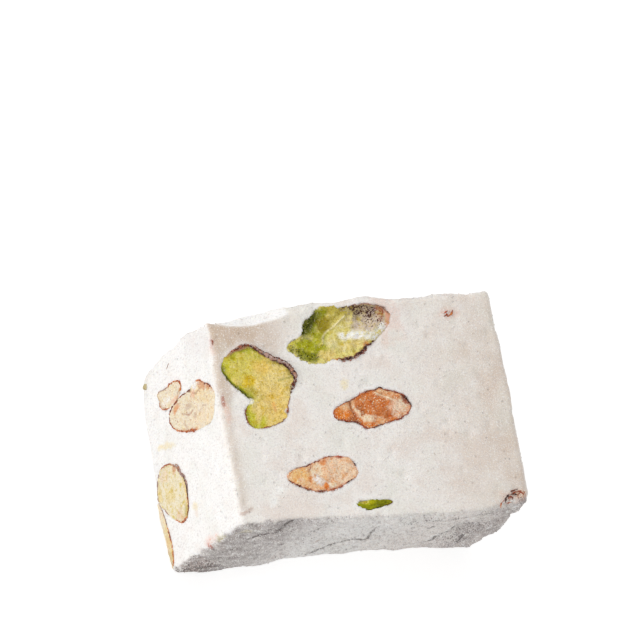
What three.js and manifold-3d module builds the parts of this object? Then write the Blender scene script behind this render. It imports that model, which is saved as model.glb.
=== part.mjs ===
// A hand-cut bar of white nougat with the almonds and pistachios that its faces show.
// Millimetres, +Z up, the origin in the middle of the block's footprint.
// Before it is centred the block is described in its cutting frame: X runs between the two cut ends,
// Y from the front to the back outer face, and Z up from the board.
import * as THREE from "three";
import { mergeVertices } from "three/addons/utils/BufferGeometryUtils.js";
import Module from "manifold-3d";

const HALF_LENGTH = 28.3;
const HALF_DEPTH = 19.3;
const HEIGHT = 34;
const FOOTPRINT_MIDDLE = { x: 1.38, y: 0.17 }; // of the swollen block, in its cutting frame
const EDGE_RADIUS = 1.2;
const GAP = 0.3; // all round a nut in its pocket
const PROUD = 0.25; // how far a cut nut stands above soft nougat
const GRID_STEP = 2.7; // between the block's grid lines, away from its edges
const EDGE_STOPS = [0, 0.5, 1.3, 2.6]; // grid lines that follow the rounded edges
const NUT_SIDES = 22;
const NUT_RINGS = [0, 0.45, 0.8]; // shares of a nut's depth, down to its pole
const REACH_OUT = 3; // how far a nut's blank passes the surface before it is cut off there
const FLECK_THICKNESS = 0.9;

// Each face has its own right-handed frame: u and v lie in it, and out points away from the block.
const FACES = {
  top: { u: [1, 0, 0], v: [0, 1, 0], out: [0, 0, 1] },
  bottom: { u: [-1, 0, 0], v: [0, 1, 0], out: [0, 0, -1] },
  left: { u: [0, -1, 0], v: [0, 0, 1], out: [-1, 0, 0] },
  right: { u: [0, 1, 0], v: [0, 0, 1], out: [1, 0, 0] },
  front: { u: [1, 0, 0], v: [0, 0, 1], out: [0, -1, 0] },
  back: { u: [-1, 0, 0], v: [0, 0, 1], out: [0, 1, 0] },
};

// A face lies this far out from the frame's middle, and swells or sinks from there by soft mounds:
// [rise, u of its middle, reach along u, v of its middle, reach along v].
const ALL_ALONG = Infinity;
const SIDES = {
  top: { level: HEIGHT, mounds: [[0.5, 5, 6, 19, 3], [0.4, -12, 4, 18, 3]] },
  bottom: { level: 0, mounds: [] },
  left: {
    level: 28.3,
    mounds: [[-0.9, -20, 9, 34, 30], [1, 8, 9, 4, 12], [0.5, 0, ALL_ALONG, 6, 10], [0.5, -11, 7, 1, 9]],
  },
  right: {
    level: 28.4,
    mounds: [[0.8, -2, 16, 34, 20], [1.4, 0, ALL_ALONG, 6, 17], [3, -20, 14, 10, 17]],
  },
  front: {
    level: 18.9,
    mounds: [[1.1, -21, 7, 3, 12], [1.5, 29, 14, 3, 12], [1.9, 13, 20, 34, 14]],
  },
  back: {
    level: 20.2,
    mounds: [
      [0.7, 2, 12, 0, ALL_ALONG], [-1.4, 27, 9, 0, ALL_ALONG], [1.9, 28, 9, 18, 7], [-0.8, 28, 8, 28, 3.5],
    ],
  },
};

// Edges and corners that were torn or rubbed rounder than the rest.
const WORN_EDGES = [
  { extra: 2.4, at: [-18, 20, 34], reach: [8, 7, 7] },
  { extra: 1.6, at: [27, -20, 34], reach: [6, 6, 6] },
  { extra: 2, at: [30, -20, 0], reach: [8, 8, 10] },
  { extra: 2, at: [30, 20, 8], reach: [8, 8, 12] },
  { extra: 2.2, at: [-30, 20, 0], reach: [7, 7, 8] },
];

// Long, low unevenness of the whole skin: each wave's rise and its length along each axis.
const WAVES = [
  { rise: 0.16, length: [13, 21, 17], phase: 0.7 },
  { rise: 0.14, length: [-19, 11, 14], phase: 2.1 },
  { rise: 0.11, length: [8.5, -9.5, 27], phase: 4.4 },
  { rise: 0.1, length: [31, 7.5, -8], phase: 1.3 },
];
const CUT_FACE_SHARE = 0.6; // the knife leaves the cut faces smoother than the outer ones
const OUTER_FACE_SHARE = 1.2;

// Creases pressed into the front face, and one raised fold: u and v of both ends.
const CREASES = [
  { from: [-22, 21], to: [-17, 32], sink: 0.5, reach: 1.7 },
  { from: [-4.4, 5], to: [4, 26], sink: 0.5, reach: 1.9 },
  { from: [21, 9.7], to: [24.4, 18.3], sink: -0.6, reach: 2.1 },
];

const FINISHES = {
  nougat: { color: 0xeee9e3, roughness: 0.9 },
  pistachio: { color: 0xc4bb52, roughness: 0.65 },
  almond: { color: 0xd9a878, roughness: 0.75 },
  blanched: { color: 0xf0dcbf, roughness: 0.75 },
};

// Each nut is an oval of half sizes [long, short], turned in degrees, with lobes that swell or notch
// its outline: [direction in degrees, rise, spread in degrees].
const NUTS = [
  {
    name: "pistachio_kidney", finish: "pistachio", face: "top", at: [-18.5, 4.1], half: [6.7, 3.6],
    turn: 51, deep: 5.5,
    lobes: [[145, 2.6, 15], [188, -2.1, 12], [119, 6, 36], [29, 0.6, 11], [297, 0.9, 33]],
  },
  {
    name: "pistachio_broken", finish: "pistachio", face: "top", at: [-5, 14.1], half: [13.1, 4.3],
    turn: 14, deep: 5.5, lobes: [[189, -5.9, 27], [90, 1.2, 29], [320, 1.3, 28], [188, 1.6, 8]],
  },
  {
    name: "almond_middle", finish: "almond", face: "top", at: [3, 0.5], half: [5.7, 3.1],
    turn: 176, deep: 4, lobes: [[185, 4, 14], [224, 1.7, 29], [89, 0.4, 17]],
  },
  {
    name: "almond_front", finish: "almond", face: "top", at: [-9.7, -11], half: [5.4, 3],
    turn: 13, deep: 4, lobes: [[178, 3, 16], [354, 0.7, 16]],
  },
  {
    name: "pistachio_sliver", finish: "pistachio", face: "top", at: [-1.6, -17.2], half: [3, 0.9],
    turn: 6, deep: 1.6, lobes: [[174, 1.3, 8], [26, -0.8, 45], [138, -0.5, 45]],
  },
  {
    name: "almond_left", finish: "blanched", face: "left", at: [-5.5, 23.7], half: [12.1, 3.8],
    turn: 84, deep: 3.4, lobes: [[151, 1.3, 35], [82, -3.2, 14]],
  },
  {
    name: "almond_left_piece", finish: "blanched", face: "left", at: [-10.8, 13.6], half: [5, 2],
    turn: 98, deep: 2, lobes: [[253, 2, 12]],
  },
  {
    name: "pistachio_left", finish: "pistachio", face: "left", at: [5.8, 8.1], half: [6.7, 5],
    turn: 68, deep: 4, lobes: [[311, -0.9, 30], [33, 1.5, 27]],
  },
  {
    name: "almond_left_edge", finish: "blanched", face: "left", at: [12.4, 1], half: [6.2, 3],
    turn: 0, deep: 3, lobes: [],
  },
  {
    name: "almond_right", finish: "almond", face: "right", at: [6, 20], half: [10, 3.9],
    turn: 38, deep: 4, lobes: [[38, -1.2, 16], [200, -0.8, 30]],
  },
  {
    name: "pistachio_right", finish: "pistachio", face: "right", at: [-9, 12.5], half: [6.6, 4.4],
    turn: 105, deep: 4.5, lobes: [[190, -1.1, 22], [250, 1.2, 25]],
  },
  {
    name: "almond_base", finish: "almond", face: "bottom", at: [-13.5, -8], half: [9, 3.8],
    turn: 24, deep: 4, lobes: [[24, 1.2, 16]],
  },
  {
    name: "pistachio_base", finish: "pistachio", face: "bottom", at: [14, 7], half: [6.2, 4.2],
    turn: 68, deep: 4.5, lobes: [[340, -1, 22]],
  },
  {
    name: "almond_base_piece", finish: "almond", face: "bottom", at: [-17, 9], half: [5.2, 3.1],
    turn: 130, deep: 3, lobes: [[130, 1, 20]],
  },
];

// Crumbs of nut and skin pressed into the nougat: face, u, v, half length, half width, turn in degrees.
const FLECKS = [
  ["top", 19.5, 16.6, 1.1, 0.55, 20],
  ["top", -26.6, -16.3, 1.2, 0.5, 70],
  ["top", -27.2, 14.4, 0.8, 0.6, 95],
  ["top", -27.4, 3.4, 1.5, 0.5, 80],
  ["top", -3.4, 4.9, 1, 0.7, 10],
  ["top", 23.7, -17.9, 1.5, 0.45, 50],
  ["top", 26.1, -16.9, 1.6, 0.45, 165],
  ["top", 13, -9, 0.8, 0.5, 35],
  ["left", -15.3, 5, 1, 0.7, 30],
  ["left", -16, 13.6, 1.3, 0.4, 60],
  ["left", -2.2, 11.9, 1, 0.7, 0],
  ["left", 11.3, 14.8, 1.3, 0.7, 75],
  ["left", 15.6, 20, 1.1, 0.6, 60],
  ["front", -6.4, 15.5, 1.2, 0.6, 20],
  ["front", 15, 8, 0.9, 0.6, 120],
  ["right", 12, 8, 1.2, 0.6, 40],
  ["right", -4, 27, 0.9, 0.6, 100],
  ["back", -9, 22, 1, 0.6, 15],
];
const FLECK_SIDES = 7;
const FLECK_BANDS = 4;

const wasm = await Module();
wasm.setup();

const radians = THREE.MathUtils.degToRad;

/** A soft hill of height 1 that fades out over `reach` from its middle. */
function hill(distance, reach) {
  return Math.exp(-((distance / reach) ** 2));
}

/** How far out a face lies at (u, v) of its own frame. */
function level(face, u, v) {
  const { level: flat, mounds } = SIDES[face];
  return mounds.reduce(
    (sum, [rise, atU, reachU, atV, reachV]) => sum + rise * hill(u - atU, reachU) * hill(v - atV, reachV),
    flat,
  );
}

/** The edge radius near a point of the nominal block: larger where an edge is worn. */
function edgeRadius(point) {
  return WORN_EDGES.reduce((radius, { extra, at, reach }) => {
    const near = at.reduce((share, middle, axis) => share * hill(point[axis] - middle, reach[axis]), 1);
    return radius + extra * near;
  }, EDGE_RADIUS);
}

/** How far a crease sinks the front face at (u, v). */
function creaseDepth(u, v) {
  return CREASES.reduce((sum, { from, to, sink, reach }) => {
    const [du, dv] = [to[0] - from[0], to[1] - from[1]];
    const share = ((u - from[0]) * du + (v - from[1]) * dv) / (du * du + dv * dv);
    const along = THREE.MathUtils.clamp(share, 0, 1);
    const distance = Math.hypot(u - from[0] - along * du, v - from[1] - along * dv);
    return sum + sink * hill(distance, reach);
  }, 0);
}

/** The low waves of the skin at a point, as a rise. */
function waves([x, y, z]) {
  return WAVES.reduce((sum, { rise, length, phase }) => {
    const turns = x / length[0] + y / length[1] + z / length[2];
    return sum + rise * Math.sin(2 * Math.PI * turns + phase);
  }, 0);
}

/** Moves a point of the nominal box onto the real block's skin, grown outwards by `grow`. */
function skinPoint(boxPoint, grow) {
  const half = [HALF_LENGTH, HALF_DEPTH, HEIGHT / 2];
  const radius = edgeRadius([boxPoint[0], boxPoint[1], boxPoint[2] + HEIGHT / 2]);
  const core = boxPoint.map((value, axis) => {
    const limit = half[axis] - radius;
    return THREE.MathUtils.clamp(value, -limit, limit);
  });
  const outward = new THREE.Vector3(...boxPoint.map((value, axis) => value - core[axis])).normalize();
  const [x, y, z] = core.map((value, axis) => value + radius * outward.getComponent(axis));
  const up = z + HEIGHT / 2;
  const skin = new THREE.Vector3(
    THREE.MathUtils.lerp(-level("left", -y, up), level("right", y, up), (x / HALF_LENGTH + 1) / 2),
    THREE.MathUtils.lerp(-level("front", x, up), level("back", -x, up), (y / HALF_DEPTH + 1) / 2),
    (level("top", x, y) * up) / HEIGHT,
  );
  const outerShare = THREE.MathUtils.lerp(CUT_FACE_SHARE, OUTER_FACE_SHARE, Math.abs(outward.y));
  const offBoard = 1 - Math.max(0, -outward.z);
  const crease = Math.max(0, -outward.y) * creaseDepth(x, up);
  const rise = (waves([x, y, up]) * outerShare - crease + grow) * offBoard;
  skin.addScaledVector(outward, rise);
  skin.z = Math.max(0, skin.z);
  return skin;
}

/** Grid lines from one end of an axis to the other, closer together along the edges. */
function gridLines(half) {
  const band = EDGE_STOPS.at(-1);
  const steps = Math.round((2 * (half - band)) / GRID_STEP);
  const step = (2 * (half - band)) / steps;
  const inner = Array.from({ length: steps - 1 }, (_, i) => band - half + (i + 1) * step);
  const start = EDGE_STOPS.map((stop) => stop - half);
  const end = EDGE_STOPS.map((stop) => half - stop).reverse();
  return [...start, ...inner, ...end];
}

/** The block's closed skin as a geometry: six grids that share their edges. */
function blockGeometry(grow = 0) {
  const half = [HALF_LENGTH, HALF_DEPTH, HEIGHT / 2];
  const lines = half.map(gridLines);
  const positions = [];
  for (const fixed of [0, 1, 2]) {
    const [across, along] = [(fixed + 1) % 3, (fixed + 2) % 3];
    for (const sign of [-1, 1]) {
      const corner = (i, j) => {
        const point = [];
        point[fixed] = sign * half[fixed];
        point[across] = lines[across][i];
        point[along] = lines[along][j];
        return skinPoint(point, grow).toArray();
      };
      for (let i = 0; i < lines[across].length - 1; i++) {
        for (let j = 0; j < lines[along].length - 1; j++) {
          const quad = [corner(i, j), corner(i + 1, j), corner(i + 1, j + 1), corner(i, j + 1)];
          const order = sign > 0 ? [0, 1, 2, 0, 2, 3] : [0, 2, 1, 0, 3, 2];
          positions.push(...order.flatMap((k) => quad[k]));
        }
      }
    }
  }
  const vertices = new THREE.Float32BufferAttribute(positions, 3);
  return new THREE.BufferGeometry().setAttribute("position", vertices);
}

/** The matrix that lays a shape drawn in (u, v, out) onto a face, at (u, v), turned about its normal. */
function onFace(face, u, v, turn = 0) {
  const { u: uAxis, v: vAxis, out } = FACES[face];
  const frame = new THREE.Matrix4().makeBasis(
    new THREE.Vector3(...uAxis), new THREE.Vector3(...vAxis), new THREE.Vector3(...out),
  );
  const place = new THREE.Matrix4().makeTranslation(u, v, level(face, u, v));
  return frame.multiply(place).multiply(new THREE.Matrix4().makeRotationZ(turn));
}

/** The outline radius of a nut in one direction, in radians. */
function nutRadius({ half, turn, lobes }, direction) {
  const [long, short] = half;
  const fromAxis = direction - radians(turn);
  const oval = 1 / Math.hypot(Math.cos(fromAxis) / long, Math.sin(fromAxis) / short);
  return lobes.reduce((radius, [at, rise, spread]) => {
    const away = THREE.MathUtils.euclideanModulo(direction - radians(at) + Math.PI, 2 * Math.PI) - Math.PI;
    return radius + rise * hill(away, radians(spread));
  }, oval);
}

/** A nut's blank: its outline sunk into the block with a round back, widened all round by `grow`. */
function nutGeometry(nut, grow = 0) {
  const depth = nut.deep + grow;
  const rings = [{ out: REACH_OUT, share: 1 }];
  for (const ring of NUT_RINGS) rings.push({ out: -ring * depth, share: Math.sqrt(1 - ring * ring) });
  const positions = [];
  for (const { out, share } of rings) {
    for (let i = 0; i < NUT_SIDES; i++) {
      const direction = (2 * Math.PI * i) / NUT_SIDES;
      const radius = (nutRadius(nut, direction) + grow) * share;
      positions.push(radius * Math.cos(direction), radius * Math.sin(direction), out);
    }
  }
  const lid = positions.push(0, 0, REACH_OUT) / 3 - 1;
  const pole = positions.push(0, 0, -depth) / 3 - 1;
  const index = [];
  for (let i = 0; i < NUT_SIDES; i++) {
    const next = (i + 1) % NUT_SIDES;
    index.push(lid, i, next);
    for (let ring = 0; ring < rings.length - 1; ring++) {
      const [upper, lower] = [ring * NUT_SIDES, (ring + 1) * NUT_SIDES];
      index.push(upper + i, lower + i, lower + next, upper + i, lower + next, upper + next);
    }
    const last = (rings.length - 1) * NUT_SIDES;
    index.push(last + i, pole, last + next);
  }
  return new THREE.BufferGeometry()
    .setAttribute("position", new THREE.Float32BufferAttribute(positions, 3))
    .setIndex(index)
    .applyMatrix4(onFace(nut.face, ...nut.at));
}

/** A crumb half sunk in a face. */
function fleckGeometry([face, u, v, halfLength, halfWidth, turn]) {
  return new THREE.SphereGeometry(1, FLECK_SIDES, FLECK_BANDS)
    .rotateX(Math.PI / 2)
    .scale(halfLength, halfWidth, FLECK_THICKNESS / 2)
    .applyMatrix4(onFace(face, u, v, radians(turn)));
}

/** A closed geometry as a solid that can be cut and joined. */
function solidOf(geometry) {
  const bare = geometry.clone();
  bare.deleteAttribute("normal");
  bare.deleteAttribute("uv");
  const merged = mergeVertices(bare, 1e-4);
  return new wasm.Manifold(
    new wasm.Mesh({
      numProp: 3,
      vertProperties: merged.getAttribute("position").array,
      triVerts: new Uint32Array(merged.index.array),
    }),
  );
}

/** A cut solid as a named mesh with its finish. */
function meshOf(solid, name, finish) {
  const cut = solid.getMesh();
  const geometry = new THREE.BufferGeometry()
    .setAttribute("position", new THREE.BufferAttribute(cut.vertProperties, 3))
    .setIndex(new THREE.BufferAttribute(cut.triVerts, 1));
  geometry.computeVertexNormals();
  const material = new THREE.MeshStandardMaterial({ ...FINISHES[finish], metalness: 0 });
  const mesh = new THREE.Mesh(geometry, material);
  mesh.name = name;
  return mesh;
}

/** The nougat: the block less a pocket for each nut, with the crumbs fused on. */
function makeNougat() {
  const pocketed = NUTS.reduce(
    (body, nut) => body.subtract(solidOf(nutGeometry(nut, GAP))),
    solidOf(blockGeometry()),
  );
  const flecked = FLECKS.reduce((body, fleck) => body.add(solidOf(fleckGeometry(fleck))), pocketed);
  return meshOf(flecked, "nougat", "nougat");
}

/** One nut, cut off where the knife went: flush on the board's side, a little proud elsewhere. */
function makeNut(nut, skin) {
  return meshOf(solidOf(nutGeometry(nut)).intersect(skin), nut.name, nut.finish);
}

const block = new THREE.Group();
block.position.set(-FOOTPRINT_MIDDLE.x, -FOOTPRINT_MIDDLE.y, 0);
block.add(makeNougat());
const proudSkin = solidOf(blockGeometry(PROUD));
for (const nut of NUTS) block.add(makeNut(nut, proudSkin));

const nougatBar = new THREE.Group();
nougatBar.name = "nougat_bar";
nougatBar.add(block);
export default nougatBar;
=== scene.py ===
"""A hand-cut bar of white nougat with almonds and pistachios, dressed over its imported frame.

Forms and finishes are described in millimetres in the block's cutting frame: X runs between the two
cut ends, Y from the front to the back outer face, and Z up from the board. Meshes are in metres, in
the frame's own axes.
"""

import logging
import math
from dataclasses import dataclass, field
from enum import Enum
from typing import Any, Iterable, Sequence

import bpy
import numpy as np
from mathutils import Matrix, Vector, noise


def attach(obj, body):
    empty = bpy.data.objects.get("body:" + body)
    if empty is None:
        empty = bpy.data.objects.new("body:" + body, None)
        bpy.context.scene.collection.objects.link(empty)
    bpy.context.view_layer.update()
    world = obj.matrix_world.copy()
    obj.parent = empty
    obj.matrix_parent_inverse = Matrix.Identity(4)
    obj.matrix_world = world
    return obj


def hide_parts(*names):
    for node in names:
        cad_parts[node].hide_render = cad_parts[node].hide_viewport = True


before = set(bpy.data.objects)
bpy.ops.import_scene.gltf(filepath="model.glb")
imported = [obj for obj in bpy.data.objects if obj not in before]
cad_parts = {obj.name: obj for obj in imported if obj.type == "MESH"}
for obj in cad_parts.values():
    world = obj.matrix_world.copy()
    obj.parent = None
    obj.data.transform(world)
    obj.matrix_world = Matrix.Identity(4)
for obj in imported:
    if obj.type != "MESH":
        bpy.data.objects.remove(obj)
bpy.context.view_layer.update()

LOG = logging.getLogger("nougat_bar")
BODY = "root"

Array = np.ndarray
Pair = tuple[float, float]
Triple = tuple[float, float, float]

MM = 0.001
TINY = 1e-6
FAR = 99.0
ALL_ALONG = math.inf
FULL_TURN = 6.28
RIM_STEPS = 720
STRAND_STEPS = 200
RIM_SKIN_LIFT = 0.12
SCRAP_LIFT = 0.05
PAINT = "paint"
SPECK = "speck"
SPECK_SIZE = 0.27
SPECK_WEIGHT = 0.34
SPECK_EDGE = (0.71, 0.77)
OUTER = "outer"
CRACK = "crack"
CRUMBLY = "crumbly"


def hill(distance: Any, reach: Any) -> Any:
    """A soft hill of height 1 that fades out over `reach` from its middle."""
    return np.exp(-((distance / reach) ** 2))


def blend(start: Any, end: Any, share: Any) -> Any:
    """The value at `share` of the way from start to end."""
    return start + (end - start) * share


def rising(value: Any, low: float, high: float) -> Any:
    """A smooth step from 0 at `low` to 1 at `high`; it falls where low is the larger."""
    share = np.clip((value - low) / (high - low), 0.0, 1.0)
    return share * share * (3.0 - 2.0 * share)


def fractal(points: Array, size: float, octaves: int = 3, shift: float = 0.0) -> Array:
    """Fractal noise at points, mostly between -0.6 and 0.6.

    Args:
        points: One point a row, in millimetres.
        size: Width of the largest lumps, in millimetres.
        octaves: How many times finer lumps are added.
        shift: Moves the pattern, so that two layers don't repeat each other.

    Returns:
        One value a point.
    """
    places = (points / size + shift).tolist()
    return np.array([noise.fractal(place, 1.0, 2.0, octaves) for place in places])


def each(kind: type, *rows: tuple[Any, ...]) -> tuple[Any, ...]:
    """One of a kind for each row of its values."""
    return tuple(kind(*row) for row in rows)


class Hue(Enum):
    """The colours of the sweet's parts, as sRGB from 0 to 255."""

    NOUGAT = (243, 239, 234)
    SUGAR = (253, 252, 250)
    SAND = (204, 182, 160)
    BLUSH = (228, 211, 199)
    SAGE = (228, 228, 217)
    ASH = (208, 199, 197)
    SLATE = (156, 146, 144)
    SMOKE = (112, 102, 98)
    STRAW = (241, 217, 142)
    PEAR = (234, 222, 142)
    PARCHMENT = (247, 236, 212)
    BUTTER = (240, 220, 150)
    IVORY = (246, 236, 196)
    LIME = (204, 204, 30)
    OLIVE = (180, 164, 44)
    KHAKI = (200, 186, 142)
    LEAF = (146, 150, 16)
    MOSS = (84, 88, 22)
    PINE = (40, 46, 12)
    HONEY = (226, 192, 30)
    GOLD = (246, 204, 104)
    CARAMEL = (216, 132, 72)
    TOFFEE = (172, 100, 56)
    AMBER = (234, 142, 58)
    BISCUIT = (242, 200, 156)
    SHELL_PINK = (242, 214, 190)
    MILK = (250, 234, 206)
    COCOA = (176, 130, 106)
    RUST = (164, 78, 48)
    BARK = (116, 62, 44)
    PLUM = (68, 36, 34)
    MAUVE = (176, 148, 140)
    SALMON = (236, 172, 146)
    BRICK = (196, 92, 62)

    @property
    def linear(self) -> Array:
        """The colour as linear values from 0 to 1."""
        srgb = np.array(self.value) / 255.0
        return np.where(srgb <= 0.04045, srgb / 12.92, ((srgb + 0.055) / 1.055) ** 2.4)

    @property
    def rgba(self) -> tuple[float, ...]:
        """The linear colour with full alpha, as a colour socket takes it."""
        return (*self.linear.tolist(), 1.0)


@dataclass(frozen=True)
class Mound:
    """A soft swelling or hollow of a face."""

    rise: float
    at: Pair
    reach: Pair

    def height(self, u: Array, v: Array) -> Array:
        """How far it lifts the face at (u, v)."""
        return self.rise * hill(u - self.at[0], self.reach[0]) * hill(v - self.at[1], self.reach[1])


def path_distance(u: Array, v: Array, path: Sequence[Pair]) -> Array:
    """How far points are from a line through a few points.

    Args:
        u: First face coordinates.
        v: Second face coordinates.
        path: The line's points.

    Returns:
        One distance a point.
    """
    nearest = np.full(len(u), math.inf)
    for (u0, v0), (u1, v1) in zip(path, path[1:]):
        du, dv = u1 - u0, v1 - v0
        along = np.clip(((u - u0) * du + (v - v0) * dv) / (du * du + dv * dv), 0.0, 1.0)
        nearest = np.minimum(nearest, np.hypot(u - u0 - along * du, v - v0 - along * dv))
    return nearest


@dataclass(frozen=True)
class Fold:
    """A ridge, or with a negative rise a crease, along a line on a face."""

    path: tuple[Pair, ...]
    rise: float
    reach: float

    def height(self, u: Array, v: Array) -> Array:
        """How far it lifts the face at (u, v)."""
        return self.rise * hill(path_distance(u, v, self.path), self.reach)


@dataclass
class Spots:
    """Where the vertices of a face lie, and the noise that makes what lies on it uneven."""

    u: Array
    v: Array
    direction: Array
    inward: Array
    warp: Array

    @classmethod
    def of(cls, local: Array, direction: Any = 0.0, inward: Any = 0.0) -> "Spots":
        """Finds them.

        Args:
            local: Points in the face's (u, v, out).
            direction: Direction of each from the kernel's middle, in radians.
            inward: Distance of each from the outline.

        Returns:
            The spots.
        """
        return cls(local[:, 0], local[:, 1], direction, inward, fractal(local, 1.6, 4, 6.0))


@dataclass(frozen=True)
class Mark:
    """A patch of colour on a face, with specks of it as dense as `grit`, which may swell or sink."""

    hue: Hue
    strength: float
    grit: float = field(default=0.0, kw_only=True)
    rise: float = field(default=0.0, kw_only=True)

    def spread(self, spots: Spots) -> Array:
        """Its shape, from 1 inside it to 0 outside."""
        raise NotImplementedError

    def height(self, spots: Spots) -> Array:
        """How far it lifts the face."""
        return self.rise * self.spread(spots)


@dataclass
class Coats:
    """The paint of some vertices: a ground, and the colour and density of the specks on it."""

    ground: Array
    specks: Array
    density: Array

    @classmethod
    def plain(cls, count: int, ground: Hue, specks: Hue, density: float) -> "Coats":
        """Vertices that are all alike."""
        tiles = (np.tile(hue.linear, (count, 1)) for hue in (ground, specks))
        return cls(*tiles, np.full(count, density))

    def add(self, hue: Hue, share: Array, strength: float = 1.0, grit: float = 0.0) -> None:
        """Lays an even coat of a colour over them, and specks of it.

        Args:
            hue: The colour.
            share: How much of it each vertex gets.
            strength: How well the even coat covers.
            grit: How dense its specks are; 0 leaves the specks that are there.
        """
        share = np.clip(share, 0.0, 1.0)
        self.ground = blend(self.ground, hue.linear, (share * strength)[:, None])
        if grit > 0:
            self.specks = blend(self.specks, hue.linear, share[:, None])
            self.density = blend(self.density, grit, share)

    def add_mark(self, mark: Mark, spots: Spots, weight: Any = 1.0) -> None:
        """Lays a mark over them, where it counts by weight."""
        self.add(mark.hue, mark.spread(spots) * weight, mark.strength, mark.grit)


@dataclass(frozen=True)
class Stain(Mark):
    """A soft-edged oval."""

    at: Pair
    half: Pair
    turn: float = 0.0
    soft: float = 0.4

    def spread(self, spots: Spots) -> Array:
        """Its shape.

        Args:
            spots: Where the face's vertices lie.

        Returns:
            From 1 inside it to 0 outside, for each vertex.
        """
        angle = math.radians(self.turn)
        du, dv = spots.u - self.at[0], spots.v - self.at[1]
        along = (du * math.cos(angle) + dv * math.sin(angle)) / self.half[0]
        across = (dv * math.cos(angle) - du * math.sin(angle)) / self.half[1]
        return rising(np.hypot(along, across) + 0.6 * spots.warp, 1.0 + self.soft, 1.0 - self.soft)


@dataclass(frozen=True)
class Wash(Mark):
    """Colour that soaks inwards from a stretch of a kernel's outline, between two directions in degrees."""

    start: float
    end: float
    reach: float
    fade: float = 8.0

    def spread(self, spots: Spots) -> Array:
        """Its shape.

        Args:
            spots: Where the face's vertices lie.

        Returns:
            From 1 inside it to 0 outside, for each vertex.
        """
        middle, spread = math.radians((self.start + self.end) / 2), (self.end - self.start) / 2
        away = np.abs(np.mod(spots.direction - middle + math.pi, 2 * math.pi) - math.pi)
        ends = rising(np.degrees(away), spread + self.fade, spread - self.fade)
        return ends * rising(spots.inward / self.reach + 0.6 * spots.warp, 1.15, 0.25)


@dataclass(frozen=True)
class Line(Mark):
    """A thin line through a few points."""

    path: tuple[Pair, ...]
    reach: float

    def spread(self, spots: Spots) -> Array:
        """Its shape, from 1 inside it to 0 outside."""
        distance = path_distance(spots.u, spots.v, self.path)
        return hill(distance, self.reach * (1 + 0.8 * spots.warp))


class Face(Enum):
    """The six faces of the block."""

    TOP = "top"
    BOTTOM = "bottom"
    LEFT = "left"
    RIGHT = "right"
    FRONT = "front"
    BACK = "back"


@dataclass(frozen=True)
class FaceForm:
    """A face's right-handed frame, and how it swells from its level."""

    u: Triple
    v: Triple
    out: Triple
    level: float
    mounds: tuple[Mound, ...] = ()

    @property
    def axes(self) -> Array:
        """The frame's u, v and out as the rows of a matrix."""
        return np.array([self.u, self.v, self.out], dtype=float)

    def height(self, u: Array, v: Array) -> Array:
        """How far out the face lies at (u, v), before its fine unevenness."""
        return self.level + sum(mound.height(u, v) for mound in self.mounds)

    def facing(self, outward: Array, low: float, high: float) -> Array:
        """How directly directions point out of the face: a smooth step from 0 at `low` to 1 at `high`."""
        return rising(outward @ self.axes[2], low, high)

    def from_block(self, points: Array) -> Array:
        """Block points in the face's (u, v, out)."""
        return points @ self.axes.T

    def to_block(self, local: Array) -> Array:
        """Points of the face's (u, v, out) in the block's axes."""
        return local @ self.axes


FACES = {
    Face.TOP: FaceForm(
        (1, 0, 0), (0, 1, 0), (0, 0, 1), 34,
        each(Mound, (0.5, (5, 19), (6, 3)), (0.4, (-12, 18), (4, 3))),
    ),
    Face.BOTTOM: FaceForm((-1, 0, 0), (0, 1, 0), (0, 0, -1), 0.0),
    Face.LEFT: FaceForm(
        (0, -1, 0), (0, 0, 1), (-1, 0, 0), 28.3,
        each(
            Mound, (-0.9, (-20, 34), (9, 30)), (1, (8, 4), (9, 12)), (0.5, (0, 6), (ALL_ALONG, 10)),
            (0.5, (-11, 1), (7, 9)), (0.9, (-21, 35), (5, 4)),
        ),
    ),
    Face.RIGHT: FaceForm(
        (0, 1, 0), (0, 0, 1), (1, 0, 0), 28.4,
        each(
            Mound, (0.8, (-2, 34), (16, 20)), (1.4, (0, 6), (ALL_ALONG, 17)), (3, (-20, 10), (14, 17)),
            (-0.5, (-7, 34), (9, 8)),
        ),
    ),
    Face.FRONT: FaceForm(
        (1, 0, 0), (0, 0, 1), (0, -1, 0), 18.9,
        each(
            Mound, (1.1, (-21, 3), (7, 12)), (1.5, (29, 3), (14, 12)), (1.9, (13, 34), (20, 14)),
            (-0.65, (29, 31.5), (5, 4.5)), (0.3, (28, 24.5), (4, 3.5)), (-0.35, (28, 17.5), (5, 3.5)),
            (0.35, (30, 8), (5, 6)),
        ),
    ),
    Face.BACK: FaceForm(
        (-1, 0, 0), (0, 0, 1), (0, 1, 0), 20.2,
        each(
            Mound, (0.7, (2, 0), (12, ALL_ALONG)), (-1.4, (27, 0), (9, ALL_ALONG)), (0.9, (28, 18), (9, 7)),
            (0.6, (29, 33), (4, 7)), (-0.4, (22.5, 33), (4, 6)),
        ),
    ),
}


@dataclass(frozen=True)
class WornEdge:
    """A stretch of edge that was torn or rubbed rounder than the rest."""

    extra: float
    at: Triple
    reach: Triple


@dataclass(frozen=True)
class Facet:
    """A stretch of the top's back edge that broke off flat instead of round."""

    start: float
    end: float
    fade: Pair

    def share(self, x: Array) -> Array:
        """How flat the edge is at x."""
        return rising(x, self.start, self.start + self.fade[0]) * rising(x, self.end, self.end - self.fade[1])

    def stretch(self, outward: Array) -> Array:
        """How far the flat profile reaches out of the rounded edge.

        Args:
            outward: Directions out of the skin, one a row.

        Returns:
            The reach in each direction, in edge radii.
        """
        aside = np.hypot(outward[:, 1], outward[:, 2])
        back, up = np.maximum(outward[:, 1:].T / aside, TINY)
        broken = np.maximum((back + up) / math.sqrt(2), TINY)
        return np.where(outward[:, 1] > 0, 1 / np.maximum.reduce([back, up, broken]), 1.0)


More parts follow.
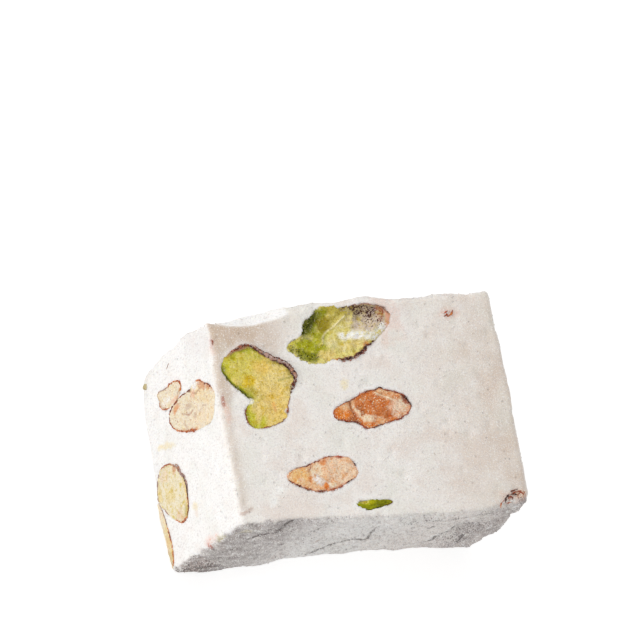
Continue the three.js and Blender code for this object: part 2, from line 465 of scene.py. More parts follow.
@dataclass(frozen=True)
class Wave:
    """A long, low unevenness of the whole skin."""

    rise: float
    length: Triple
    phase: float


@dataclass(frozen=True)
class BlockForm:
    """The block's skin: a rounded box whose faces swell, crease and wave."""

    half: Triple = (28.3, 19.3, 17.0)
    footprint_middle: Triple = (1.38, 0.17, 0.0)
    edge_radius: float = 1.2
    cut_share: float = 0.25
    outer_share: float = 1.2
    worn: tuple[WornEdge, ...] = (
        WornEdge(3.1, (-17, 20, 34), (6.5, 7, 7)),
        WornEdge(0.9, (27, -20, 34), (6, 6, 6)),
        WornEdge(2, (30, -20, 0), (8, 8, 10)),
        WornEdge(2, (30, 20, 8), (8, 8, 12)),
        WornEdge(2.2, (-30, 20, 0), (7, 7, 8)),
    )
    waves: tuple[Wave, ...] = (
        Wave(0.16, (13, 21, 17), 0.7),
        Wave(0.14, (-19, 11, 14), 2.1),
        Wave(0.11, (8.5, -9.5, 27), 4.4),
        Wave(0.1, (31, 7.5, -8), 1.3),
    )
    creases: tuple[Fold, ...] = (
        Fold(((-22, 21), (-17, 32)), -0.5, 1.7),
        Fold(((-4.4, 5), (4, 26)), -0.5, 1.9),
        Fold(((21, 9.7), (24.4, 18.3)), 0.6, 2.1),
    )
    facet: Facet = Facet(-28.0, -11.6, (5.0, 0.7))
    search_steps: int = 6

    @property
    def height(self) -> float:
        """From the board to the top face."""
        return 2 * self.half[2]

    def radius(self, points: Array) -> Array:
        """The edge radius near points.

        Args:
            points: One point a row, measured up from the board.

        Returns:
            One radius a point.
        """
        radius = np.full(len(points), self.edge_radius)
        for worn in self.worn:
            radius += worn.extra * np.prod(hill(points - np.array(worn.at), np.array(worn.reach)), axis=1)
        return radius

    def wave(self, points: Array) -> Array:
        """The low waves of the skin.

        Args:
            points: One point a row, measured up from the board.

        Returns:
            The rise at each point.
        """
        total = np.zeros(len(points))
        for wave in self.waves:
            turns = (points / np.array(wave.length)).sum(axis=1)
            total += wave.rise * np.sin(2 * math.pi * turns + wave.phase)
        return total

    def skin(self, box: Array) -> tuple[Array, Array]:
        """Moves points of the nominal box onto the block's skin.

        Args:
            box: One point a row on the box of half sizes `half` about its middle.

        Returns:
            The points on the skin, measured up from the board, and the directions out of it.
        """
        half = np.array(self.half)
        lift = np.array([0.0, 0.0, self.half[2]])
        radius = self.radius(box + lift)[:, None]
        core = np.clip(box, radius - half, half - radius)
        outward = box - core
        outward /= np.linalg.norm(outward, axis=1)[:, None]
        flat = self.facet.share(box[:, 0]) * (outward[:, 2] > 0)
        reach = radius[:, 0] * blend(1.0, self.facet.stretch(outward), flat)
        x, y, up = (core + reach[:, None] * outward + lift).T
        left, right = FACES[Face.LEFT].height(-y, up), FACES[Face.RIGHT].height(y, up)
        front, back = FACES[Face.FRONT].height(x, up), FACES[Face.BACK].height(-x, up)
        skin = np.stack(
            [
                blend(-left, right, (x / half[0] + 1) / 2),
                blend(-front, back, (y / half[1] + 1) / 2),
                FACES[Face.TOP].height(x, y) * up / self.height,
            ],
            axis=1,
        )
        outer = blend(self.cut_share, self.outer_share, np.abs(outward[:, 1]))
        crease = sum(fold.height(x, up) for fold in self.creases)
        rise = self.wave(np.stack([x, y, up], axis=1)) * outer + np.maximum(0, -outward[:, 1]) * crease
        skin += outward * (rise * (1 - np.maximum(0, -outward[:, 2])))[:, None]
        skin[:, 2] = np.maximum(0, skin[:, 2])
        return skin, outward

    def surface(self, face: Face, u: Array, v: Array) -> Array:
        """How far out the skin of a face lies at (u, v), by following it to the point that lands there.

        Args:
            face: The face.
            u: First face coordinates.
            v: Second face coordinates.

        Returns:
            The out coordinate of the skin for each (u, v).
        """
        form = FACES[face]
        half = np.abs(form.axes) @ np.array(self.half)
        middle = form.axes @ np.array([0.0, 0.0, self.half[2]])
        place = np.stack([u, v, np.full(len(u), half[2])], axis=1)
        place[:, :2] -= middle[:2]
        for _ in range(self.search_steps):
            place[:, :2] = np.clip(place[:, :2], -half[:2], half[:2])
            landed = form.from_block(self.skin(form.to_block(place))[0])
            place[:, 0] += u - landed[:, 0]
            place[:, 1] += v - landed[:, 1]
        return landed[:, 2]

    def to_frame(self, points: Array) -> Array:
        """Block points in the frame's own axes, in metres."""
        return (points - np.array(self.footprint_middle)) * MM


@dataclass(frozen=True)
class Lobe:
    """A swelling, or with a negative rise a notch, of an outline."""

    direction: float
    rise: float
    spread: float


class Flesh(Enum):
    """The kinds of kernel, by the flesh that their cut shows."""

    PISTACHIO = "pistachio"
    GREEN_PISTACHIO = "green_pistachio"
    ALMOND = "almond"
    BLANCHED_ALMOND = "blanched_almond"

    @property
    def slot(self) -> str:
        """The name of the record's material slot for this flesh, which is logged."""
        return self.value.replace("green_", "")


class Side(Enum):
    """The two colours that a strand of seed skin varies between."""

    PLUM = (Hue.PLUM, Hue.BARK)
    RUST = (Hue.RUST, Hue.BARK)
    RED = (Hue.BRICK, Hue.RUST)
    MAUVE = (Hue.MAUVE, Hue.COCOA)
    TAN = (Hue.CARAMEL, Hue.RUST)


@dataclass(frozen=True)
class SkinRun:
    """A stretch of seed skin along a kernel's outline, between two directions in degrees."""

    start: float
    end: float
    tone: Side = Side.RUST
    width: float = 0.26
    aside: float = 0.0
    lift: float = 0.0


@dataclass(frozen=True)
class Kernel:
    """A cut almond or pistachio: an oval outline with lobes, sunk into a face."""

    name: str
    face: Face
    at: Pair
    half: Pair
    turn: float
    deep: float
    lobes: tuple[Lobe, ...]
    flesh: Flesh
    ground: Hue
    marks: tuple[Mark, ...] = ()
    skins: tuple[SkinRun, ...] = ()
    grain: float = 0.06
    crag: float = 0.1
    fray: float = 0.18
    dust: float = 0.25

    def radius(self, direction: Array) -> Array:
        """The outline's radius, with its small raggedness.

        Args:
            direction: Directions from the kernel's middle, in radians.

        Returns:
            One radius a direction.
        """
        aside = direction - math.radians(self.turn)
        radius = 1 / np.hypot(np.cos(aside) / self.half[0], np.sin(aside) / self.half[1])
        for lobe in self.lobes:
            away = np.mod(direction - math.radians(lobe.direction) + math.pi, 2 * math.pi) - math.pi
            radius += lobe.rise * hill(away, math.radians(lobe.spread))
        flat = np.stack(
            [
                self.at[0] + radius * np.cos(direction),
                self.at[1] + radius * np.sin(direction),
                np.full(len(direction), self.deep),
            ],
            axis=1,
        )
        radius = radius + self.fray * (fractal(flat, 1.1, 4) + 0.7 * fractal(flat, 0.4, 2, 5.0))
        if abs(FACES[self.face].v[2]) > 0:
            down = np.minimum(np.sin(direction), -TINY)
            radius = np.where(np.sin(direction) < 0, np.minimum(radius, -self.at[1] / down), radius)
        return radius


KERNELS = (
    Kernel(
        "pistachio_kidney", Face.TOP, (-18.5, 4.1), (6.7, 3.6), 51, 5.5,
        each(
            Lobe, (145, 2.6, 15), (188, -1.2, 11), (119, 6, 36), (104, 0.8, 10), (126, 0.45, 9),
            (29, 0.6, 11), (297, 1.25, 33),
        ),
        Flesh.PISTACHIO, Hue.STRAW,
        marks=(
            Stain(Hue.BUTTER, 0.6, (-16.5, 8), (3.4, 2.4), -20),
            Stain(Hue.GOLD, 0.3, (-17.2, 2.4), (2.6, 3.2)),
            Stain(Hue.LIME, 0.48, (-23, 9.6), (4.6, 3.6), 30, soft=0.6), Wash(Hue.LIME, 0.7, 92, 180, 2.4),
            Wash(Hue.LEAF, 0.9, 142, 186, 1.5),
            Stain(Hue.LEAF, 0.4, (-21.6, 5.2), (1.8, 1.1), -30, soft=0.6),
            Stain(Hue.HONEY, 0.85, (-21.7, 7.2), (1.3, 1), 30),
            Stain(Hue.GOLD, 0.6, (-19, 9.4), (1.6, 1.2), soft=0.6), Wash(Hue.LEAF, 0.85, 96, 128, 1.7),
            Wash(Hue.OLIVE, 0.6, 28, 80, 1.5), Wash(Hue.LIME, 0.85, 192, 256, 2.4),
            Wash(Hue.LEAF, 0.6, 194, 234, 0.9), Wash(Hue.MOSS, 0.75, 142, 190, 1, grit=0.5),
            Wash(Hue.PINE, 0.1, 144, 184, 0.6, grit=0.55), Wash(Hue.BARK, 0.7, 198, 234, 0.25),
            Wash(Hue.COCOA, 0.95, 99, 131, 0.75),
            Line(Hue.LEAF, 0.5, ((-16, 6.8), (-13, 7.3)), 0.16, rise=-0.08),
            Line(Hue.AMBER, 0.45, ((-17.8, 2.8), (-17.6, 1.4)), 0.3),
            Stain(Hue.SUGAR, 0.8, (-15.3, 1), (0.5, 0.6)),
            Stain(Hue.SUGAR, 0.9, (-22.2, 3.4), (0.8, 0.6), rise=0.15),
        ),
        dust=0.18,
        skins=each(
            SkinRun, (100, 124, Side.RUST, 0.26, 0.1), (103, 118, Side.MAUVE, 0.2, 0.35),
            (22, 100, Side.MAUVE, 0.55, 0.45, 0.05), (24, 103, Side.PLUM, 0.24, 0, 0.1),
            (17, 96, Side.PLUM, 0.24, 0.65, 0.15), (2, 34, Side.PLUM, 0.34, 0.15),
            (10, 30, Side.PLUM, 0.24, 0.45), (-28, -5, Side.RUST, 0.16, 0.05),
            (-52, -30, Side.RUST, 0.24, 0.05), (246, 300, Side.RUST, 0.14), (200, 226, Side.RUST, 0.14),
        ),
    ),
    Kernel(
        "pistachio_broken", Face.TOP, (-5, 14.1), (13.1, 4.3), 14, 5.5,
        each(Lobe, (189, -5.9, 27), (90, 1.2, 29), (320, 1.3, 28), (188, 1.6, 8)),
        Flesh.PISTACHIO, Hue.PEAR,
        marks=(
            Stain(Hue.OLIVE, 0.75, (-2.4, 18.7), (4.6, 1.2), rise=-0.15),
            Stain(Hue.LIME, 0.8, (-6.6, 14), (2.6, 1.6), 40),
            Stain(Hue.LEAF, 0.95, (-7.4, 17), (3.6, 2), 52, rise=0.5),
            Stain(Hue.MOSS, 0.8, (-8.6, 17), (3.6, 1.5), 56),
            Stain(Hue.PINE, 0.2, (-9, 17), (3.8, 1.3), 56, grit=0.62),
            Stain(Hue.OLIVE, 0.85, (-5.2, 16.4), (1.8, 1.2), 20, rise=-0.6),
            Stain(Hue.IVORY, 0.9, (-9.4, 13.5), (1.3, 0.6), 10, rise=-0.5),
            Stain(Hue.LIME, 0.95, (-8.9, 12.3), (3.6, 1.4), -15, rise=0.35),
            Stain(Hue.LEAF, 0.6, (-8.6, 12.4), (3.2, 1.4), -15),
            Stain(Hue.LEAF, 0.85, (-9.8, 11.1), (3.4, 1), -25),
            Stain(Hue.MOSS, 0.2, (-10.4, 11.2), (3.4, 0.9), -25),
            Stain(Hue.PINE, 0, (-10.6, 11.4), (3.6, 1.1), -25, grit=0.5),
            Stain(Hue.STRAW, 0.8, (-5.4, 10.6), (1.9, 1)), Stain(Hue.IVORY, 0.4, (-4.6, 13), (1.2, 1.4)),
            Line(
                Hue.IVORY, 0.85, ((-1.1, 17.6), (-3.4, 15.9), (-5.1, 15), (-5.9, 14.2), (-6.3, 12.8)), 0.22,
                rise=0.5,
            ),
            Line(Hue.IVORY, 0.5, ((-3.2, 16.1), (-1.6, 15.4), (0.4, 15.6)), 0.18, rise=0.2),
            Stain(Hue.BLUSH, 0.95, (4.2, 15.9), (3.8, 2.8), 10),
            Stain(Hue.PLUM, 0.08, (3.6, 16.6), (3.4, 2.2), -20, grit=0.44),
            Stain(Hue.MAUVE, 0.4, (2.4, 18.5), (3.6, 1.2), -8, rise=0.2),
            Stain(Hue.PLUM, 0.3, (1.8, 18.6), (3.6, 1.1), -8, grit=0.7),
            Stain(Hue.RUST, 0.45, (5.9, 17.5), (0.8, 1.4), 10, grit=0.7, rise=0.2),
            Stain(Hue.SALMON, 0.9, (7.4, 16.6), (0.8, 1.9), -10, grit=0.6),
            Stain(Hue.SUGAR, 1, (1.2, 13.7), (4, 0.9), -4, rise=0.4),
            Stain(Hue.SUGAR, 0.8, (5, 14.5), (2.2, 0.8), 30, rise=0.2),
            Stain(Hue.BUTTER, 0.95, (-0.2, 12.2), (2.2, 0.8), 10, rise=0.1),
            Line(Hue.IVORY, 0.7, ((-1.8, 13.6), (-2.3, 11.2)), 0.22, rise=0.15),
            Stain(Hue.CARAMEL, 0.75, (2.2, 11.9), (0.9, 0.6), 30),
            Wash(Hue.CARAMEL, 0.27, 270, 340, 0.7, grit=0.7),
        ),
        skins=each(
            SkinRun, (290, 352, Side.PLUM, 0.34, 0.05), (284, 340, Side.RUST, 0.18, 0.35),
            (14, 44, Side.MAUVE, 0.2, 0.05),
        ),
        crag=0.5,
        fray=0.4,
        dust=0.12,
    ),
    Kernel(
        "almond_middle", Face.TOP, (3, 0.5), (5.7, 3.1), 176, 4,
        each(Lobe, (185, 4, 14), (224, 1.7, 29), (89, 0.4, 17)),
        Flesh.ALMOND, Hue.CARAMEL,
        marks=(
            Stain(Hue.AMBER, 1, (-5.2, -0.5), (2.5, 1.4), 20), Wash(Hue.TOFFEE, 0.8, 178, 232, 0.6),
            Stain(Hue.BISCUIT, 0.8, (-3.7, 1), (1.3, 0.9), 30),
            Stain(Hue.TOFFEE, 0.8, (-3.2, -1.5), (1.1, 0.5), -10),
            Line(Hue.TOFFEE, 0.8, ((-3, 1.9), (-2.9, 0.3), (-2.3, -0.9)), 0.26, rise=-0.35),
            # Painted shade beside the crack.
            Stain(Hue.TOFFEE, 0.55, (-1.2, -0.2), (0.7, 1.2), 20),
            Line(
                Hue.MILK, 0.95, ((-2.5, 0.9), (-2.2, 0.1), (-1.5, -0.5), (-1.6, -1.1), (-0.8, -1.5)), 0.3,
                rise=0.15,
            ),
            Stain(Hue.TOFFEE, 0.27, (3.1, -1), (2, 1), grit=0.4),
            Stain(Hue.MILK, 0.85, (0.1, -1.8), (1.2, 0.8), 10, rise=0.2),
            Stain(Hue.AMBER, 0.85, (-0.5, -3), (1.2, 0.7)),
            Stain(Hue.BISCUIT, 0.8, (1.9, -2.4), (1.3, 0.6), 5),
            Line(Hue.MILK, 0.7, ((-0.4, -1.3), (1.2, -1.3), (2.6, -1.7)), 0.2),
            Stain(Hue.BISCUIT, 0.65, (4.4, 2.6), (2.4, 0.6), -28),
            Line(Hue.MILK, 0.9, ((2, 2.9), (3.6, 2.2), (6.5, 0.8)), 0.22, rise=0.25),
            Line(Hue.BISCUIT, 0.85, ((2.6, 3.4), (5, 2.9), (7.3, 1.9)), 0.24, rise=0.18),
            Stain(Hue.SHELL_PINK, 0.9, (6.5, -0.3), (1.9, 2)), Stain(Hue.MILK, 0.7, (7.2, 0.5), (0.9, 1.2)),
            Stain(Hue.RUST, 0.85, (7.9, 1.4), (0.55, 1.2), 15),
            Stain(Hue.PLUM, 0.5, (7.7, 1.9), (0.5, 0.8), 30, grit=0.5), Wash(Hue.RUST, 0.75, 0, 359, 0.3),
        ),
        skins=each(
            SkinRun, (16, 66, Side.RUST, 0.26), (72, 112, Side.PLUM, 0.18), (116, 172, Side.RUST, 0.16),
            (-8, 22, Side.PLUM, 0.3, 0.1), (192, 232, Side.RUST, 0.22), (236, 262, Side.PLUM, 0.26),
            (272, 345, Side.RUST, 0.22),
        ),
        grain=0.12,
        dust=0.34,
    ),
    Kernel(
        "almond_front", Face.TOP, (-9.7, -11), (5.4, 3), 13, 4,
        each(Lobe, (178, 3, 16), (354, 0.7, 16)),
        Flesh.ALMOND, Hue.BISCUIT,
        marks=(
            Stain(Hue.GOLD, 0.4, (-15.4, -11), (2.2, 1.7)),
            Stain(Hue.SHELL_PINK, 0.7, (-15.2, -11.7), (0.8, 0.5)),
            Stain(Hue.SHELL_PINK, 0.75, (-7, -10.4), (4.4, 2.8), 12, soft=0.6),
            Stain(Hue.CARAMEL, 0, (-7.6, -10.8), (4.2, 2.6), 12, grit=0.12),
            Stain(Hue.MILK, 0.4, (-6.6, -10.6), (3.6, 2.2), 12, soft=0.6),
            Stain(Hue.MILK, 0.85, (-11.9, -10.2), (1.1, 1.9), 15),
            Stain(Hue.AMBER, 0.7, (-10.5, -8.9), (0.6, 0.45)),
            Stain(Hue.BLUSH, 0.95, (-11, -12.4), (2.3, 0.75), -28, soft=0.3, rise=0.12),
            Stain(Hue.SUGAR, 0.7, (-12.2, -11.9), (1, 0.6), -20),
            Line(Hue.RUST, 0.7, ((-12.8, -9), (-13, -9.7), (-13.5, -10.3)), 0.16, rise=-0.1),
            Line(Hue.CARAMEL, 0.5, ((-13.3, -10.6), (-13.5, -11.8), (-13.4, -12.7)), 0.2),
            Stain(Hue.AMBER, 0.95, (-10.6, -13.1), (0.4, 0.8), 10, soft=0.3),
            Stain(Hue.MILK, 0.9, (-9.3, -13), (0.7, 0.5), rise=0.15), Wash(Hue.SALMON, 0.55, 0, 359, 0.5),
            Stain(Hue.BRICK, 0.8, (-4.5, -8.6), (0.6, 0.3), -30, soft=0.3),
        ),
        dust=0.32,
        skins=each(
            SkinRun, (36, 60, Side.RED, 0.28), (62, 108, Side.RUST, 0.13), (112, 164, Side.RUST, 0.17),
            (182, 216, Side.RUST, 0.16), (222, 252, Side.RUST, 0.28), (262, 292, Side.TAN, 0.24),
            (296, 318, Side.RUST, 0.22), (324, 346, Side.PLUM, 0.2), (8, 22, Side.PLUM, 0.14),
        ),
        grain=0.09,
    ),
    Kernel(
        "pistachio_sliver", Face.TOP, (-1.6, -17.2), (3, 0.9), 6, 1.6,
        each(Lobe, (174, 1.3, 8), (26, -0.8, 30), (95, -0.25, 35), (-2, 0.8, 9), (215, 0.25, 12)),
        Flesh.GREEN_PISTACHIO, Hue.LEAF,
        marks=(
            Stain(Hue.LIME, 0.7, (-3, -16.9), (1.3, 0.45)),
            Stain(Hue.BUTTER, 0.5, (-3.8, -16.8), (0.9, 0.3)),
            Stain(Hue.MOSS, 0.3, (-0.4, -17.2), (1.9, 0.6), 5, grit=0.5),
            Wash(Hue.PINE, 0.5, 196, 350, 0.25, grit=0.6), Wash(Hue.BARK, 0.9, 346, 372, 0.6),
        ),
        fray=0.05,
        dust=0.05,
    ),
    Kernel(
        "almond_left", Face.LEFT, (-5.5, 23.7), (12.1, 3.8), 84, 3.4,
        each(Lobe, (151, 1.3, 35), (82, -3.2, 14)),
        Flesh.BLANCHED_ALMOND, Hue.PARCHMENT,
        marks=(
            Stain(Hue.MILK, 0.8, (-3.2, 27.5), (1.8, 6)), Stain(Hue.GOLD, 0.3, (-8, 26.5), (1.6, 4.5), -20),
            Stain(Hue.TOFFEE, 0, (-6, 22), (4, 11), grit=0.28),
            Stain(Hue.CARAMEL, 0.45, (-8.6, 29.6), (1.1, 4), -20),
            Stain(Hue.BRICK, 0.1, (-8.6, 29.6), (1.2, 4.4), -20, grit=0.4),
            Stain(Hue.SUGAR, 0.9, (-9.4, 24.6), (0.9, 1.3)),
            Line(Hue.COCOA, 0.7, ((-8.6, 26.6), (-8, 25), (-8.4, 23.6)), 0.16),
            Line(Hue.TOFFEE, 0.6, ((-6.3, 17.2), (-5.2, 20.4), (-5.6, 22.4)), 0.16),
            Line(Hue.COCOA, 0.6, ((-4.2, 24.8), (-5.4, 26.4), (-4.8, 28.6)), 0.14),
            Stain(Hue.AMBER, 0.7, (-7.7, 15.1), (0.8, 1.3)),
            Stain(Hue.COCOA, 0.4, (-6.7, 20.2), (0.5, 1.2)), Stain(Hue.COCOA, 0.3, (-4.6, 23), (0.5, 1)),
            Stain(Hue.SALMON, 0.5, (-8.4, 23.6), (0.8, 1.3)),
            Stain(Hue.BARK, 0.8, (-9.3, 22), (0.35, 1), -15),
            Line(Hue.COCOA, 0.45, ((-4.6, 17.6), (-2.6, 19)), 0.3, rise=-0.1),
            Wash(Hue.CARAMEL, 0.6, 284, 352, 0.9), Wash(Hue.COCOA, 0.7, 214, 290, 0.4),
        ),
        skins=each(
            SkinRun, (100, 124, Side.RUST, 0.22), (128, 160, Side.TAN, 0.2), (196, 216, Side.RUST, 0.3),
            (222, 264, Side.RUST, 0.2), (264, 292, Side.TAN, 0.24), (293, 345, Side.TAN, 0.36),
        ),
        grain=0.09,
    ),
    Kernel(
        "almond_left_piece", Face.LEFT, (-10.8, 13.6), (5, 2), 98, 2,
        each(Lobe, (253, 2, 12)),
        Flesh.BLANCHED_ALMOND, Hue.PARCHMENT,
        marks=(
            Wash(Hue.COCOA, 0.5, 235, 300, 0.8), Stain(Hue.SALMON, 0.45, (-9.6, 15.6), (0.5, 2.4)),
            Stain(Hue.SUGAR, 0.5, (-10.4, 11.8), (0.7, 1.8)),
            Stain(Hue.TOFFEE, 0, (-10.8, 13.6), (2, 5), grit=0.26),
            Line(Hue.BRICK, 0.7, ((-9.9, 19), (-9.7, 17.4)), 0.18),
            Line(Hue.COCOA, 0.7, ((-10.8, 18.4), (-10.2, 16.6)), 0.14),
        ),
        skins=each(
            SkinRun, (84, 124, Side.TAN, 0.28), (122, 204, Side.TAN, 0.2), (200, 250, Side.MAUVE, 0.14),
            (270, 330, Side.TAN, 0.18),
        ),
    ),
    Kernel(
        "pistachio_left", Face.LEFT, (5.8, 8.1), (6.7, 5), 68, 4,
        each(Lobe, (311, -0.9, 30), (33, 1.5, 27)),
        Flesh.PISTACHIO, Hue.PARCHMENT,
        marks=(
            Stain(Hue.STRAW, 0.5, (6.2, 8), (1.4, 2.2)), Stain(Hue.STRAW, 0.6, (5, 2.8), (1.8, 1)),
            Wash(Hue.GOLD, 0.5, 30, 100, 1.3), Stain(Hue.OLIVE, 0.5, (10.8, 13), (1.2, 1)),
            Stain(Hue.SHELL_PINK, 0.8, (10.6, 10.6), (1.1, 1.4)),
            Stain(Hue.CARAMEL, 0.6, (2.3, 10.9), (0.7, 1)),
            Stain(Hue.SHELL_PINK, 0.5, (2.6, 6.4), (1, 2.6)),
        ),
        skins=each(
            SkinRun, (225, 330, Side.MAUVE, 0.14), (0, 40, Side.TAN, 0.26), (40, 72, Side.RUST, 0.16),
            (66, 104, Side.PLUM, 0.18, 0.1), (100, 150, Side.MAUVE, 0.36, 0.1),
            (78, 112, Side.MAUVE, 0.22, 0.45), (116, 142, Side.MAUVE, 0.26, 0.5),
            (150, 222, Side.TAN, 0.16),
        ),
    ),
    Kernel(
        "almond_left_edge", Face.LEFT, (12.4, 1), (6.2, 3), 0, 3, (),
        Flesh.BLANCHED_ALMOND, Hue.PARCHMENT,
        marks=(
            Stain(Hue.MILK, 0.8, (8, 1.5), (1.6, 2.5)), Stain(Hue.STRAW, 0.6, (14, 3), (3.6, 1.6)),
            Stain(Hue.CARAMEL, 0.2, (15.6, 1.5), (2.4, 0.9), -15),
            Stain(Hue.OLIVE, 0.3, (17, 2), (1.8, 1.6)),
        ),
        skins=each(SkinRun, (8, 110, Side.TAN, 0.18), (110, 170, Side.MAUVE, 0.12)),
    ),
    Kernel(
        "almond_right", Face.RIGHT, (6, 20), (10, 3.9), 38, 4,
        each(Lobe, (38, -1.2, 16), (200, -0.8, 30)),
        Flesh.ALMOND, Hue.BISCUIT,
        marks=(
            Stain(Hue.CARAMEL, 0.39, (8.5, 22), (4.5, 1.8), 38, grit=0.3),
            Stain(Hue.SHELL_PINK, 0.7, (12.2, 25), (2, 1.6), 38),
            Stain(Hue.AMBER, 0.6, (-0.6, 15.4), (2, 1.4), 38),
            Line(Hue.MILK, 0.9, ((3, 20.4), (3.6, 18.2), (4.6, 16)), 0.4, rise=0.15),
            Line(Hue.TOFFEE, 0.7, ((3.8, 20.6), (4.4, 18.4), (5.4, 16.2)), 0.24, rise=-0.3),
            Line(Hue.MILK, 0.7, ((6, 22.8), (10, 25.6)), 0.24, rise=0.2), Wash(Hue.RUST, 0.7, 0, 359, 0.3),
        ),
        skins=each(
            SkinRun, (10, 120, Side.RUST, 0.22), (130, 210, Side.TAN, 0.2), (216, 352, Side.RUST, 0.2),
        ),
        grain=0.1,
    ),
    Kernel(
        "pistachio_right", Face.RIGHT, (-9, 12.5), (6.6, 4.4), 105, 4.5,
        each(Lobe, (190, -1.1, 22), (250, 1.2, 25)),
        Flesh.PISTACHIO, Hue.STRAW,
        marks=(
            Stain(Hue.BUTTER, 0.6, (-8, 12), (2.4, 3)), Wash(Hue.LIME, 0.75, 80, 215, 2.6),
            Wash(Hue.LEAF, 0.8, 90, 200, 1), Stain(Hue.LIME, 0.7, (-8.4, 7.4), (2.4, 1.4)),
            Wash(Hue.MOSS, 0.85, 100, 190, 0.35),
        ),
        skins=each(
            SkinRun, (-70, 80, Side.PLUM, 0.24), (-50, 66, Side.MAUVE, 0.26, 0.26),
            (200, 262, Side.RUST, 0.16),
        ),
    ),
    Kernel(
        "almond_base", Face.BOTTOM, (-13.5, -8), (9, 3.8), 24, 4,
        each(Lobe, (24, 1.2, 16)),
        Flesh.ALMOND, Hue.BISCUIT,
        marks=(
            Stain(Hue.CARAMEL, 0.42, (-12, -7), (5, 1.8), 24, grit=0.3),
            Stain(Hue.MILK, 0.7, (-18, -10), (1.5, 3)), Wash(Hue.RUST, 0.7, 0, 359, 0.3),
        ),
        skins=each(SkinRun, (0, 350, Side.RUST, 0.2)),
    ),
    Kernel(
        "pistachio_base", Face.BOTTOM, (14, 7), (6.2, 4.2), 68, 4.5,
        each(Lobe, (340, -1, 22)),
        Flesh.PISTACHIO, Hue.STRAW,
        marks=(
            Wash(Hue.LIME, 0.75, 60, 200, 2.6), Wash(Hue.LEAF, 0.8, 80, 180, 0.9),
        ),
        skins=each(SkinRun, (0, 180, Side.PLUM, 0.2)),
    ),
    Kernel(
        "almond_base_piece", Face.BOTTOM, (-17, 9), (5.2, 3.1), 130, 3,
        each(Lobe, (130, 1, 20)),
        Flesh.ALMOND, Hue.SHELL_PINK,
        marks=(Stain(Hue.BISCUIT, 0.7, (-16, 8), (2, 2)), Wash(Hue.CARAMEL, 0.6, 0, 359, 0.4)),
        skins=each(SkinRun, (20, 300, Side.RUST, 0.18)),
    ),
)


@dataclass(frozen=True)
class Fleck:
    """A crumb of nut or skin pressed into a face."""

    face: Face
    at: Pair
    half: Pair
    turn: float
    hue: Hue


FLECKS = each(
    Fleck,
    (Face.LEFT, (-15.3, 2.9), (0.8, 0.5), 70, Hue.KHAKI),
    (Face.RIGHT, (12, 8), (1.2, 0.6), 40, Hue.RUST),
    (Face.RIGHT, (-4, 27), (0.9, 0.6), 100, Hue.HONEY),
    (Face.BACK, (-9, 22), (1, 0.6), 15, Hue.CARAMEL),
)


@dataclass(frozen=True)
class Scrap:
    """A loose strand of seed skin on a face."""

    face: Face
    path: tuple[Pair, ...]
    tone: Side
    width: float = 0.3


SCRAPS = each(
    Scrap,
    (Face.TOP, ((23.4, -19), (22.8, -19.5), (22.7, -20.2)), Side.TAN, 0.4),
    (Face.TOP, ((23.7, -19.4), (23.8, -18.6), (24.5, -18.1), (25.3, -18), (26.2, -18.2)), Side.PLUM, 0.34),
    (Face.TOP, ((24.6, -19.1), (24.4, -18.7), (24.8, -18.4), (25.3, -18.7), (25.1, -19)), Side.RUST, 0.24),
    (Face.TOP, ((23.6, -19.5), (25.2, -19.4)), Side.TAN, 0.22),
    (Face.TOP, ((25, -17.5), (26.5, -17.2)), Side.PLUM, 0.34),
    (Face.TOP, ((25.2, -17.9), (26.3, -17.6), (27.2, -17.6)), Side.TAN, 0.26),
    (Face.TOP, ((26.4, -18.9), (26.3, -18.2), (27, -17.8), (27.6, -18.2), (27.5, -18.9)), Side.RUST, 0.26),
    (Face.TOP, ((27.6, -17.6), (28.1, -18.6)), Side.TAN, 0.3),
    (Face.TOP, ((18.5, 16), (19.2, 16.3), (19.9, 16.8)), Side.RUST, 0.4),
    (Face.TOP, ((18.6, 16.6), (19.5, 17)), Side.RED, 0.3),
    (Face.TOP, ((19.2, 15.9), (20.2, 16.4), (20.5, 17.1)), Side.TAN, 0.36),
    (Face.TOP, ((-27.5, 15.4), (-27.1, 15.2), (-27.3, 14.5)), Side.RUST, 0.3),
    (Face.LEFT, ((-16.6, 14.6), (-15.8, 13.2)), Side.MAUVE, 0.16),
)

